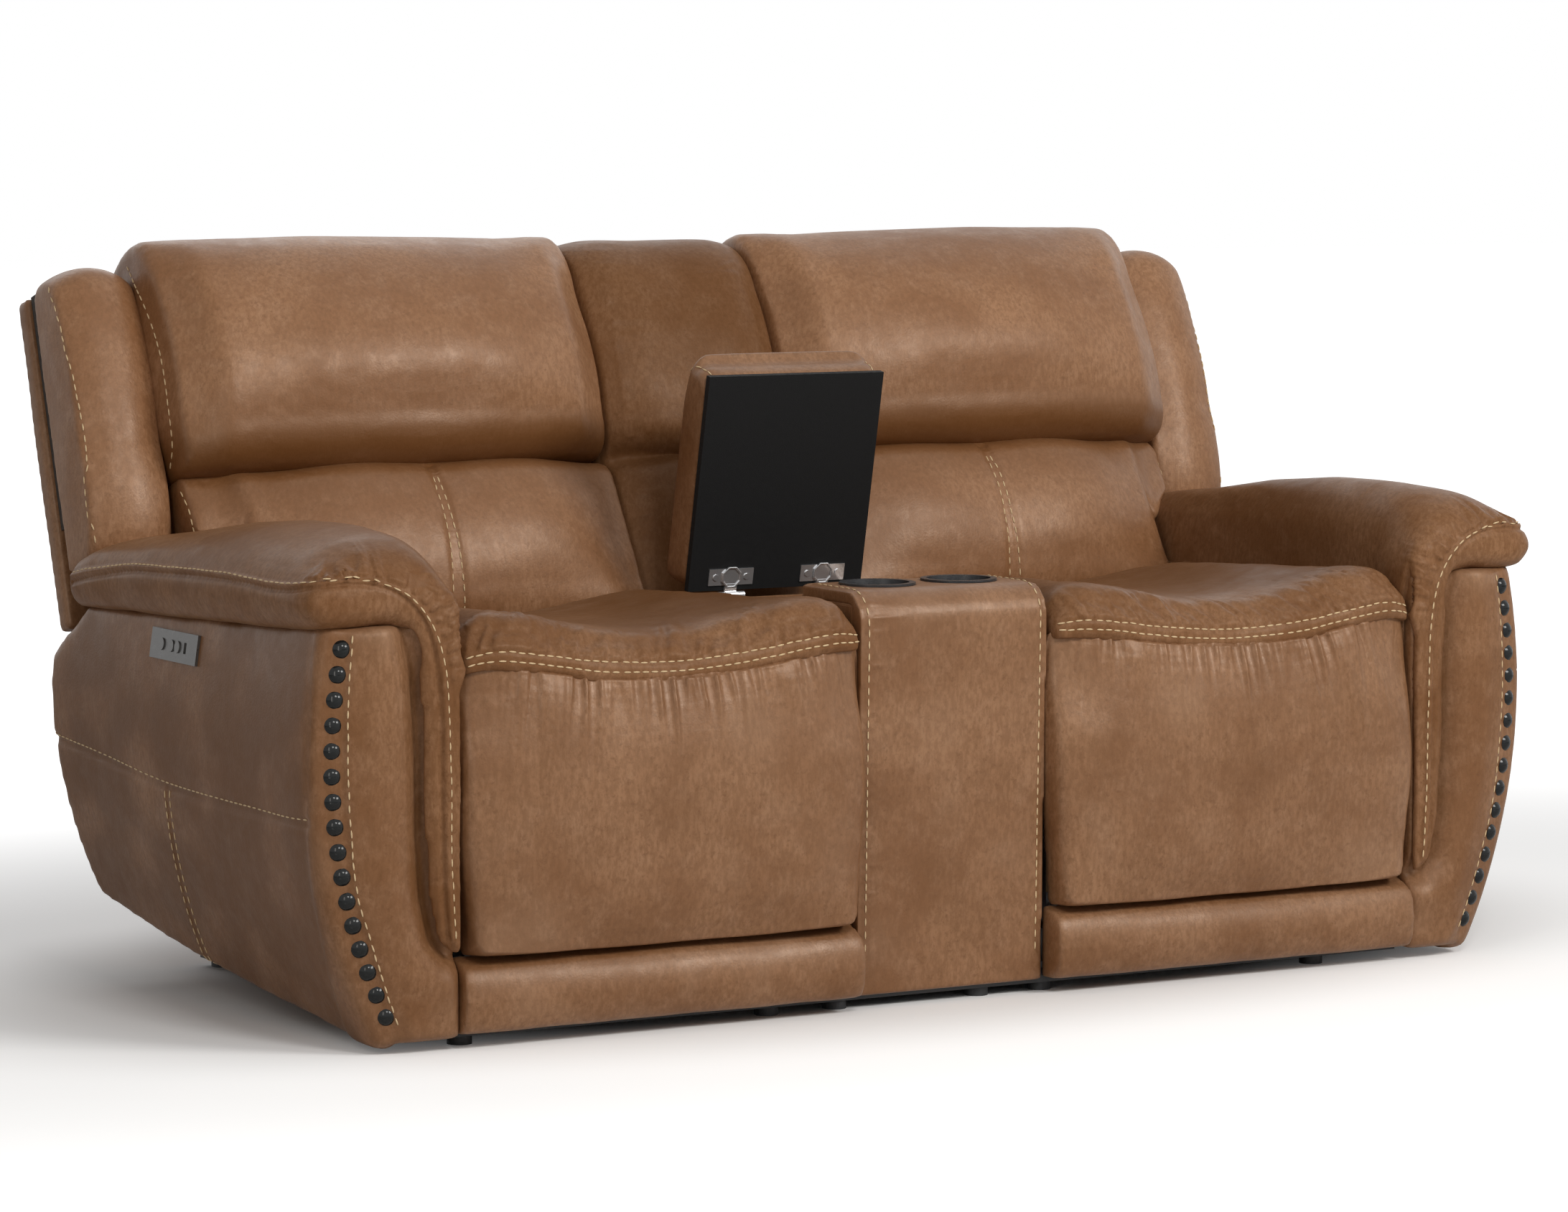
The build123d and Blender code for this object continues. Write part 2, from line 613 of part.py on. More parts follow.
sections = []
for x, inset in (
    (WING_INNER_X, 14.0),
    (WING_INNER_X + 30, 0.0),
    (WING_OUTER_X - 32, 0.0),
    (WING_OUTER_X, 16.0),
):
    sections.append(
        outline(
            back(x),
            (WING_LOW_U + inset / 2, FRAME_FRONT_V),
            (WING_LOW_U + inset / 2, 66 - inset),
            ((WING_LOW_U + 40, 88 - inset), (WING_LOW_U + 110, 90 - inset)),
            ((WING_TOP_U - 120, 84 - inset), (WING_TOP_U - 40, 66 - inset)),
            ((WING_TOP_U - 8 - inset, 44 - inset / 2), (WING_TOP_U - inset, FRAME_FRONT_V + 12)),
            (FRAME_TOP_U - inset, FRAME_FRONT_V),
        )
    )
save_pair("wing", [Solid.make_loft(sections)])

# Arms: padded barrel side, front panel, top pad with its waterfall strip, and nails
section = outline(
    front(ARM_FRONT_Y),
    (ARM_IN, 8.0),
    (barrel_x(8.0), 8.0),
    ((ARM_OUT, ARM_BARREL_Z), (barrel_x(560.0), 560.0)),
    (ARM_IN, 560.0),
)
barrel = prism(section, dy=ARM_REAR_Y + 10 - ARM_FRONT_Y)
profile = outline(
    side(ARM_IN - 5),
    (ARM_FRONT_Y, 14.0),
    ((-80.0, 48.0), (ARM_REAR_Y - 60, 114.0)),
    ((ARM_REAR_Y - 18, 270.0), (ARM_REAR_Y, 450.0)),
    (ARM_REAR_Y - 110, 527.0),
    (ARM_FRONT_Y, ARM_TOP_FRONT_Z),
)
arm = (barrel & prism(profile, dx=ARM_WIDTH + 20)).solid()
corner = arm.edges().filter_by(lambda e: e.center().Y < ARM_FRONT_Y + 1 and e.center().X > ARM_IN + 150)
arm = arm.fillet(ARM_CORNER_R, [e for e in corner if e.bounding_box().size.Z > 200])
save_pair("arm_shell", [arm])

STRIP_EDGE = (
    (ARM_IN + 74, 556.0),
    (ARM_IN + 59, 493.0),
    (ARM_IN + 53, 390.0),
    (ARM_IN + 52, 290.0),
    (ARM_IN + 47, 205.0),
    (ARM_IN + 35, 148.0),
    (ARM_IN + 16, 128.0),
    (ARM_IN + 4, 124.0),
)
panel_edge = [(x + 3, z - 3) for x, z in STRIP_EDGE]
panel = outline(
    front(ARM_FRONT_Y),
    *panel_edge,
    (ARM_IN + 4, 24.0),
    (barrel_x(24.0) - ARM_CORNER_R - 4, 24.0),
    ((barrel_x(300.0) - ARM_CORNER_R - 2, 300.0), (barrel_x(545.0) - ARM_CORNER_R - 2, 545.0)),
    (ARM_IN + 110, 553.0),
)
save_pair("arm_front", [prism(panel, dy=-6.0)])

sections = []
for y, low_z, tip_z, crown_z, inset in (
    (PAD_FRONT_Y, 578.0, 596.0, PAD_CROWN_Z - 52, 34.0),
    (PAD_FRONT_Y + 5, 566.0, 606.0, PAD_CROWN_Z - 36, 16.0),
    (PAD_FRONT_Y + 16, ARM_TOP_FRONT_Z + 1, 612.0, PAD_CROWN_Z - 20, 6.0),
    (PAD_FRONT_Y + 40, 555.0, 613.0, PAD_CROWN_Z - 7, 1.0),
    (PAD_FRONT_Y + 84, 553.0, 613.0, PAD_CROWN_Z, 0.0),
    (-200.0, 540.0, 613.0, PAD_CROWN_Z - 4, 0.0),
    (-60.0, 536.0, 610.0, PAD_CROWN_Z - 16, 0.0),
    (80.0, 530.0, 600.0, PAD_CROWN_Z - 36, 0.0),
    (PAD_REAR_Y - 90, 524.0, 586.0, PAD_CROWN_Z - 50, 0.0),
    (PAD_REAR_Y - 30, 522.0, 572.0, PAD_CROWN_Z - 64, 3.0),
    (PAD_REAR_Y, 522.0, 556.0, PAD_CROWN_Z - 92, 14.0),
):
    roll = min(PAD_ROLL, 0.75 * (crown_z - low_z))
    round_off = roll * (1 - cos(radians(45)))
    fall_x, fall_z = PAD_OUT - inset - 14, tip_z + 16
    sections.append(
        outline(
            front(y),
            (ARM_IN, low_z),
            (ARM_IN, crown_z - roll),
            ((ARM_IN + round_off, crown_z - round_off), (ARM_IN + roll, crown_z)),
            (((ARM_IN + roll + fall_x) / 2, crown_z - (crown_z - fall_z) / 4), (fall_x, fall_z)),
            ((PAD_OUT - inset, tip_z), (PAD_OUT - inset - 20, low_z)),
        )
    )
pad = Solid.make_loft(sections, True)
strips = []
for y, inset in ((ARM_FRONT_Y, 0.0), (PAD_FRONT_Y + 6, 0.13), (PAD_FRONT_Y, 0.38)):
    edge = [(x - inset * (x - ARM_IN), z + inset * 25) for x, z in STRIP_EDGE]
    strips.append(
        outline(
            front(y),
            *edge,
            (ARM_IN + inset * 8, 126.0 + inset * 25),
            (ARM_IN + inset * 8, 580.0),
            (edge[0][0], 580.0),
        )
    )
strip = Solid.make_loft(strips, True)
top_cut = prism(profile, dx=ARM_WIDTH + 60)
save_pair("arm_pad", [(pad - top_cut + strip).solid()])

nails = []
dome_r = NAIL_DIAMETER / 2
dome_h = 7.0
ball = (dome_r**2 + dome_h**2) / (2 * dome_h)
low_turn = asin((NAIL_LOW_Z - ARM_BARREL_Z) / ARM_BARREL_R)
high_turn = asin((NAIL_HIGH_Z - ARM_BARREL_Z) / ARM_BARREL_R)
for k in range(NAIL_COUNT):
    turn = low_turn + (high_turn - low_turn) * k / (NAIL_COUNT - 1)
    yaw = radians(NAIL_YAW)
    reach = ARM_BARREL_R - ARM_CORNER_R * (1 - cos(yaw))
    seat = Vector(
        ARM_OUT - ARM_BARREL_R + reach * cos(turn),
        ARM_FRONT_Y + ARM_CORNER_R * (1 - sin(yaw)),
        ARM_BARREL_Z + reach * sin(turn),
    )
    out = Vector(cos(turn) * cos(yaw), -sin(yaw), sin(turn) * cos(yaw))
    head = Plane(seat - out * 2.5, x_dir=(0, 0, 1), z_dir=out)
    dome = Solid.make_sphere(ball, Plane(head.origin - out * (ball - dome_h), z_dir=out))
    block = Plane(head.origin - head.x_dir * 20 - head.y_dir * 20, x_dir=head.x_dir, z_dir=out)
    shank = Solid.make_cylinder(1.5, 16, Plane(head.origin - out * 15.5, z_dir=out))
    nails.append(((dome & Solid.make_box(40, 40, 20, block)) + shank).solid())
save("arm_nails", nails + mirrored(nails))

# Switch plates with their buttons and charging port, square to the barrel side
turn = asin((PLATE_Z - ARM_BARREL_Z) / ARM_BARREL_R)
face = Plane(
    (barrel_x(PLATE_Z), PLATE_Y, PLATE_Z),
    x_dir=(0, 1, 0),
    z_dir=(cos(turn), 0, sin(turn)),
)
plate = Solid.make_box(PLATE_LENGTH, PLATE_HEIGHT, PLATE_THICKNESS)
plate = plate.moved(Location((-PLATE_LENGTH / 2, -PLATE_HEIGHT / 2, 0)))
buttons = []
for share in BUTTON_SHARES:
    along = PLATE_LENGTH * (0.5 - share)
    hole = Solid.make_cylinder(BUTTON_DIAMETER / 2 + 0.3, 20, Plane((along, 0, -5)))
    plate = plate - hole
    seat_z = BUTTON_TRAVEL + 0.8
    buttons.append(Solid.make_cylinder(BUTTON_DIAMETER / 2, 6 - seat_z, Plane((along, 0, seat_z))))
along = PLATE_LENGTH * (0.5 - PORT_SHARE)
port = Solid.make_box(8, 15, 10).moved(Location((along - 4, -7.5, 1.2)))
plate = (plate - port).solid().moved(face.location)
save("switch_plates", [plate, *mirrored([plate])])
for name, button in zip(("recline", "return", "home"), buttons):
    save_pair(name + "_button", [button.moved(face.location)])

# Console: box, front and top cover, bin liner, cup holders
half = CONSOLE_WIDTH / 2
wall = half - CONSOLE_WALL
rear_y = 90.0
cover_rear = BIN_FRONT_Y - BIN_WALL
case = [
    box(-wall, wall, TOE_RAIL_REAR_Y, rear_y, RAIL_TOP_Z, 60),
    box(-wall, wall, BIN_FRONT_Y, BIN_REAR_Y, BIN_FLOOR_Z - 18, BIN_FLOOR_Z),
    box(-wall, wall, cover_rear, BIN_FRONT_Y, 60, BIN_RIM_Z),
    box(-wall, wall, BIN_REAR_Y, BIN_REAR_Y + 18, 60, HINGE_DECK_Z),
    box(-wall, wall, BIN_REAR_Y + 18, rear_y, HINGE_DECK_Z - 18, HINGE_DECK_Z),
    box(-half, half, rear_y, 365, RAIL_TOP_Z, 420),
]
for s in (-1, 1):
    cheek = sorted((s * wall, s * half))
    case.append(box(*cheek, TOE_RAIL_REAR_Y, rear_y, RAIL_TOP_Z, HINGE_DECK_Z))
    case.append(box(*cheek, TOE_RAIL_REAR_Y, BIN_REAR_Y, HINGE_DECK_Z, BIN_RIM_Z))
    case.append(box(*cheek, TOE_RAIL_REAR_Y, cover_rear, BIN_RIM_Z, CONSOLE_TOP_Z - CONSOLE_WALL))
save("console_box", case)

nose = CONSOLE_NOSE_R * (1 - sin(radians(45)))
cover = outline(
    side(-half),
    (CONSOLE_FRONT_Y + 12, 18.0),
    (CONSOLE_FRONT_Y, CONSOLE_TOP_Z - CONSOLE_NOSE_R),
    (
        (CONSOLE_FRONT_Y + nose, CONSOLE_TOP_Z - nose),
        (CONSOLE_FRONT_Y + CONSOLE_NOSE_R, CONSOLE_TOP_Z),
    ),
    (BIN_FRONT_Y, CONSOLE_TOP_Z),
    (BIN_FRONT_Y, BIN_RIM_Z),
    (cover_rear, BIN_RIM_Z),
    (cover_rear, CONSOLE_TOP_Z - CONSOLE_WALL),
    (TOE_RAIL_REAR_Y, CONSOLE_TOP_Z - CONSOLE_WALL),
    (TOE_RAIL_REAR_Y, 18.0),
)
cover = prism(cover, dx=CONSOLE_WIDTH)
cups = []
for x in (-CUP_X, CUP_X):
    cup_r = CUP_OUTER_DIAMETER / 2
    low_z = CONSOLE_TOP_Z - CUP_DEPTH
    cover = cover - rod_z(x, CUP_Y, cup_r + 0.3, CONSOLE_TOP_Z - 60, CONSOLE_TOP_Z + 5)
    outside = Solid.make_cone(cup_r - 7, cup_r, CUP_DEPTH, Plane((x, CUP_Y, low_z)))
    flange = rod_z(x, CUP_Y, CUP_FLANGE_DIAMETER / 2, CONSOLE_TOP_Z, CONSOLE_TOP_Z + 3)
    inside = Solid.make_cone(cup_r - 10, cup_r - 3, CUP_DEPTH, Plane((x, CUP_Y, low_z + 3)))
    cups.append((outside + flange - inside).solid())
save("console_cover", [cover.solid()])
save("cup_holders", cups)

liner = box(-wall, wall, BIN_FRONT_Y, BIN_REAR_Y, BIN_FLOOR_Z, BIN_RIM_Z)
for s in (-1, 1):
    rim = sorted((s * (wall - 3), s * (wall + 10)))
    liner = liner + box(*rim, BIN_FRONT_Y, BIN_REAR_Y, BIN_RIM_Z, BIN_RIM_Z + 2)
liner = liner - box(-wall + 3, wall - 3, BIN_FRONT_Y + 3, BIN_REAR_Y - 3, BIN_FLOOR_Z + 3, BIN_RIM_Z + 5)
save("console_bin", [liner.solid()])

# Fixed padded back above the console
pads = []
for rows in ("low", "high"):
    sections = []
    for x, bulge in ((-half + 1, -14.0), (-half + 34, 4.0), (0.0, 8.0), (half - 34, 4.0), (half - 1, -14.0)):
        if rows == "low":
            lean = radians(BACK_LEAN)
            foot_u = (420 - RECLINE_PIVOT[1] - BACK_REAR_V * sin(lean)) / cos(lean)
            toe_u = (420 - RECLINE_PIVOT[1] - 168 * sin(lean)) / cos(lean)
            moves = (
                (foot_u, BACK_REAR_V),
                (toe_u, 168.0),
                ((toe_u + 170, 170 + bulge), (CREASE_U - 24, 150 + bulge)),
                ((CREASE_U - 8, 138 + bulge), (CREASE_U - 3, 116.0)),
                (CREASE_U - 3, BACK_REAR_V),
            )
        else:
            top = HEAD_TOP_U - 4 + bulge / 2
            moves = (
                (CREASE_U - 3, BACK_REAR_V),
                (CREASE_U - 3, 112.0),
                ((CREASE_U + 14, 140 + bulge), (CREASE_U + 60, 156 + bulge)),
                ((CREASE_U + 150, 160 + bulge), (top - 90, 136 + bulge)),
                ((top - 26, 100 + bulge / 2), (top, 40.0)),
                ((top - 8, -20.0), (FRAME_TOP_U, BACK_REAR_V)),
            )
        sections.append(outline(back(x), *moves))
    pads.append(Solid.make_loft(sections))
save("console_back", pads)

# Console lid, modelled shut and then swung open about its rear hinge
hy, hz = LID_HINGE
swing = Location((0, hy, hz)) * Location((0, 0, 0), (-LID_OPEN, 0, 0)) * Location((0, -hy, -hz))
lid_rear = hy - 6
lid_low = hz + 4
lid_board = box(-LID_WIDTH / 2 + 5, LID_WIDTH / 2 - 5, lid_rear - LID_LENGTH + 6, lid_rear, lid_low, lid_low + 10)
sections = []
for z, inset in (
    (lid_low + 10, 5.0),
    (lid_low + 24, 0.0),
    (lid_low + LID_THICKNESS - 18, 0.0),
    (lid_low + LID_THICKNESS, 22.0),
):
    x1 = LID_WIDTH / 2 - inset
    y0, y1 = lid_rear - LID_LENGTH + inset, lid_rear - inset / 2
    r = 24.0
    k = r * (1 - sin(radians(45)))
    sections.append(
        outline(
            level(z),
            (-x1 + r, y0),
            (x1 - r, y0),
            ((x1 - k, y0 + k), (x1, y0 + r)),
            (x1, y1 - r),
            ((x1 - k, y1 - k), (x1 - r, y1)),
            (-x1 + r, y1),
            ((-x1 + k, y1 - k), (-x1, y1 - r)),
            (-x1, y0 + r),
            ((-x1 + k, y0 + k), (-x1 + r, y0)),
        )
    )
lid_pad = Solid.make_loft(sections, True)
save("lid_board", [lid_board.moved(swing)])
save("lid_pad", [lid_pad.moved(swing)])

leaves, brackets = [], []
for x in (-HINGE_X, HINGE_X):
    leaf = box(x - 36, x + 36, lid_rear - 32, lid_rear - 8, lid_low - 2, lid_low)
    leaf = leaf + box(x - 9.5, x + 9.5, lid_rear - 10, hy, lid_low - 4, lid_low)
    leaf = leaf + rod_x(hy, hz, 6, x - 9.5, x + 9.5) - rod_x(hy, hz, 3 + PIN_CLEARANCE, x - 12, x + 12)
    for screw in (x - 25, x + 25):
        leaf = leaf + rod_z(screw, lid_rear - 20, 4.5, lid_low - 3.5, lid_low - 1)
    leaves.append(leaf.solid().moved(swing))
    bracket = rod_x(hy, hz, 3, x - 22, x + 22)
    for ear in (x - 22, x + 10):
        bracket = bracket + box(ear, ear + 12, hy - 5, hy + 5, HINGE_DECK_Z, hz)
        bracket = bracket + rod_x(hy, hz, 5, ear, ear + 12)
    bracket = bracket + box(x - 22, x + 22, hy - 5, hy + 20, HINGE_DECK_Z, HINGE_DECK_Z + 3)
    brackets.append(bracket.solid())
save("lid_hinge_leaves", leaves)
save("lid_hinge_brackets", brackets)
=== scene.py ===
import bmesh
import bpy
import numpy as np
from math import cos, exp, pi, radians, sin
from mathutils import Matrix, Vector, noise
from mathutils.bvhtree import BVHTree
from mathutils.kdtree import KDTree


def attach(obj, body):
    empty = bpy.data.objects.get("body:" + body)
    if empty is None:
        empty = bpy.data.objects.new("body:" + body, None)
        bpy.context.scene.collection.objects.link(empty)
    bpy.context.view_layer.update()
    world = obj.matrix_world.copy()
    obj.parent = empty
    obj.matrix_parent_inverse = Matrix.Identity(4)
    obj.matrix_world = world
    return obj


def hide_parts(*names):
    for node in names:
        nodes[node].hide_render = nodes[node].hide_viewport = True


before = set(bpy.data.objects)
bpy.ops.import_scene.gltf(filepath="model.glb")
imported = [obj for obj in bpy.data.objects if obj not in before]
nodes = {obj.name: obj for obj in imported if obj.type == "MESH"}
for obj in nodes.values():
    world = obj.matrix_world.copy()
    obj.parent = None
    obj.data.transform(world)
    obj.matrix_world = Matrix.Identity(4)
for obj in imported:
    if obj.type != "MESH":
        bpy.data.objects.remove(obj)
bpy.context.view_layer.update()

# Studio: a pale seamless floor and backdrop, soft boxes above and to both sides, and a long
# lens at sitting height, turned thirty degrees to the left of the front.
scene = bpy.context.scene
scene.view_settings.view_transform = "Standard"

camera = bpy.data.objects.new("camera", bpy.data.cameras.new("camera"))
camera.location = (-3.94, -6.85, 1.23)
camera.rotation_euler = (radians(90 - 5.26), 0, radians(-30))
camera.data.sensor_fit = "HORIZONTAL"
camera.data.sensor_width = 36.0
camera.data.lens = 127.6
scene.collection.objects.link(camera)
scene.camera = camera


def soft_box(name, place, aim, width, height, power, tint=(1.0, 1.0, 1.0)):
    lamp = bpy.data.lights.new(name, "AREA")
    lamp.shape = "RECTANGLE"
    lamp.size = width
    lamp.size_y = height
    lamp.energy = power
    lamp.color = tint
    holder = bpy.data.objects.new(name, lamp)
    holder.location = place
    holder.rotation_euler = (Vector(aim) - Vector(place)).to_track_quat("-Z", "Y").to_euler()
    scene.collection.objects.link(holder)


soft_box("key_box", (2.0, -4.1, 3.0), (0.0, -0.1, 0.6), 1.7, 1.3, 114, (1.0, 0.985, 0.96))
soft_box("front_box", (-0.8, -4.0, 3.4), (0.0, -0.1, 0.8), 1.0, 0.9, 54, (1.0, 0.985, 0.96))
soft_box("left_box", (-3.4, -2.9, 1.9), (-0.5, -0.1, 0.7), 0.7, 2.0, 20, (1.0, 0.94, 0.86))
soft_box("top_box", (0.2, -0.6, 3.6), (0.0, 0.0, 0.5), 2.6, 1.0, 5)
soft_box("rim_box", (0.0, 2.8, 2.6), (0.0, 0.2, 0.7), 3.0, 1.0, 10)

world = bpy.data.worlds.new("studio")
world.use_nodes = True
scene.world = world
sky = world.node_tree
seen = sky.nodes.new("ShaderNodeLightPath")
direct = sky.nodes.new("ShaderNodeMath")
direct.operation = "MAXIMUM"
sky.links.new(seen.outputs["Is Camera Ray"], direct.inputs[0])
sky.links.new(seen.outputs["Is Glossy Ray"], direct.inputs[1])
through = sky.nodes.new("ShaderNodeMath")
through.operation = "MAXIMUM"
sky.links.new(direct.outputs[0], through.inputs[0])
sky.links.new(seen.outputs["Is Transmission Ray"], through.inputs[1])
level = sky.nodes.new("ShaderNodeMapRange")
level.inputs["To Min"].default_value = 0.22
level.inputs["To Max"].default_value = 1.0
sky.links.new(through.outputs[0], level.inputs["Value"])
sky.nodes["Background"].inputs["Color"].default_value = (1.0, 1.0, 1.0, 1.0)
sky.links.new(level.outputs[0], sky.nodes["Background"].inputs["Strength"])

bm = bmesh.new()
bmesh.ops.create_grid(bm, x_segments=8, y_segments=8, size=30.0)
floor_mesh = bpy.data.meshes.new("floor")
bm.to_mesh(floor_mesh)
bm.free()
floor = bpy.data.objects.new("floor", floor_mesh)
scene.collection.objects.link(floor)
paper = bpy.data.materials.new("white_paper")
paper.use_nodes = True
tree = paper.node_tree
matte = tree.nodes.new("ShaderNodeBsdfDiffuse")
matte.inputs["Color"].default_value = (0.94, 0.94, 0.94, 1.0)
lift = tree.nodes.new("ShaderNodeEmission")
place = tree.nodes.new("ShaderNodeTexCoord")
oval = tree.nodes.new("ShaderNodeMapping")
oval.inputs["Scale"].default_value = (0.2115, 0.3846, 0.0)
tree.links.new(place.outputs["Object"], oval.inputs["Vector"])
away = tree.nodes.new("ShaderNodeVectorMath")
away.operation = "LENGTH"
tree.links.new(oval.outputs[0], away.inputs[0])
whiter = tree.nodes.new("ShaderNodeValToRGB")
whiter.color_ramp.interpolation = "EASE"
whiter.color_ramp.elements[0].position = 0.185
whiter.color_ramp.elements[1].position = 1.0
halfway = whiter.color_ramp.elements.new(0.327)
halfway.color = (0.31, 0.31, 0.31, 1.0)
tree.links.new(away.outputs["Value"], whiter.inputs["Fac"])
seen = tree.nodes.new("ShaderNodeLightPath")
shown = tree.nodes.new("ShaderNodeMath")
shown.operation = "MULTIPLY"
tree.links.new(whiter.outputs[0], shown.inputs[0])
tree.links.new(seen.outputs["Is Camera Ray"], shown.inputs[1])
tree.links.new(shown.outputs[0], lift.inputs["Strength"])
both = tree.nodes.new("ShaderNodeAddShader")
tree.links.new(matte.outputs[0], both.inputs[0])
tree.links.new(lift.outputs[0], both.inputs[1])
tree.links.new(both.outputs[0], tree.nodes["Material Output"].inputs["Surface"])
floor_mesh.materials.append(paper)


# Feet and base frame: black moulded feet screwed under a welded frame of black painted
# steel, which also carries the side plates of both reclining seats.
def finish(name, dark, light, grain, rough, bump, metal=0.0, stretch=(1.0, 1.0, 1.0)):
    """Finish in two tones mixed by a grain, which also breaks up its gloss and its surface."""
    made = bpy.data.materials.new(name)
    made.use_nodes = True
    tree = made.node_tree
    shader = tree.nodes["Principled BSDF"]
    shader.inputs["Metallic"].default_value = metal
    place = tree.nodes.new("ShaderNodeTexCoord")
    turn = tree.nodes.new("ShaderNodeMapping")
    turn.inputs["Scale"].default_value = stretch
    tree.links.new(place.outputs["Object"], turn.inputs["Vector"])
    cloud = tree.nodes.new("ShaderNodeTexNoise")
    cloud.inputs["Scale"].default_value = grain
    cloud.inputs["Detail"].default_value = 5.0
    cloud.inputs["Roughness"].default_value = 0.6
    tree.links.new(turn.outputs[0], cloud.inputs["Vector"])
    tone = tree.nodes.new("ShaderNodeMix")
    tone.data_type = "RGBA"
    tone.inputs[6].default_value = (*dark, 1.0)
    tone.inputs[7].default_value = (*light, 1.0)
    tree.links.new(cloud.outputs["Fac"], tone.inputs[0])
    tree.links.new(tone.outputs[2], shader.inputs["Base Color"])
    spread = tree.nodes.new("ShaderNodeMapRange")
    spread.inputs["From Min"].default_value = 0.3
    spread.inputs["From Max"].default_value = 0.7
    spread.inputs["To Min"].default_value = rough * 0.85
    spread.inputs["To Max"].default_value = min(rough * 1.2, 1.0)
    tree.links.new(cloud.outputs["Fac"], spread.inputs["Value"])
    tree.links.new(spread.outputs[0], shader.inputs["Roughness"])
    fine = tree.nodes.new("ShaderNodeTexNoise")
    fine.inputs["Scale"].default_value = grain * 6
    fine.inputs["Detail"].default_value = 3.0
    tree.links.new(turn.outputs[0], fine.inputs["Vector"])
    dent = tree.nodes.new("ShaderNodeBump")
    dent.inputs["Strength"].default_value = bump
    dent.inputs["Distance"].default_value = 0.0008
    tree.links.new(fine.outputs["Fac"], dent.inputs["Height"])
    tree.links.new(dent.outputs[0], shader.inputs["Normal"])
    return made


def paint(name, made):
    """Put a finish on a solid that keeps its own shape."""
    mesh = nodes[name].data
    mesh.materials.clear()
    mesh.materials.append(made)


foot_rubber = finish("foot_rubber", (0.010, 0.010, 0.011), (0.022, 0.022, 0.023), 120, 0.62, 0.4)
black_paint = finish("black_paint", (0.012, 0.012, 0.013), (0.026, 0.026, 0.027), 60, 0.45, 0.25)
paint("feet", foot_rubber)
paint("base_frame", black_paint)


# Reclining mechanism: pressed steel side plates and links with zinc plating, riveted at their
# pivots, and a black motor that pushes a bright rod.
zinc = finish("zinc_plate", (0.33, 0.33, 0.34), (0.50, 0.50, 0.51), 35, 0.38, 0.2, metal=1.0)
motor_black = finish("motor_black", (0.013, 0.013, 0.014), (0.030, 0.030, 0.032), 90, 0.5, 0.35)
bright_rod = finish("bright_rod", (0.55, 0.55, 0.56), (0.68, 0.68, 0.69), 20, 0.22, 0.1, metal=1.0)
raw_timber = finish(
    "raw_timber", (0.30, 0.19, 0.10), (0.52, 0.37, 0.21), 14, 0.7, 0.5, stretch=(0.4, 3.0, 3.0)
)
# Near-black cloth on the back frames, which show only in the gap between wing and shell: painted shade.
painted_shade_cloth = finish("painted_shade_cloth", (0.016, 0.011, 0.008), (0.030, 0.022, 0.016), 200, 0.85, 0.5)
for side in ("right", "left"):
    for part in ("side_plates", "lift_arms", "reach_arms", "guide_links", "tie_links"):
        paint(f"{side}_{part}", zinc)
    paint(f"{side}_actuator", motor_black)
    paint(f"{side}_actuator_rod", bright_rod)
    paint(f"{side}_seat_frame", raw_timber)
    paint(f"{side}_back_frame", painted_shade_cloth)
    paint(f"{side}_leg_frame", raw_timber)


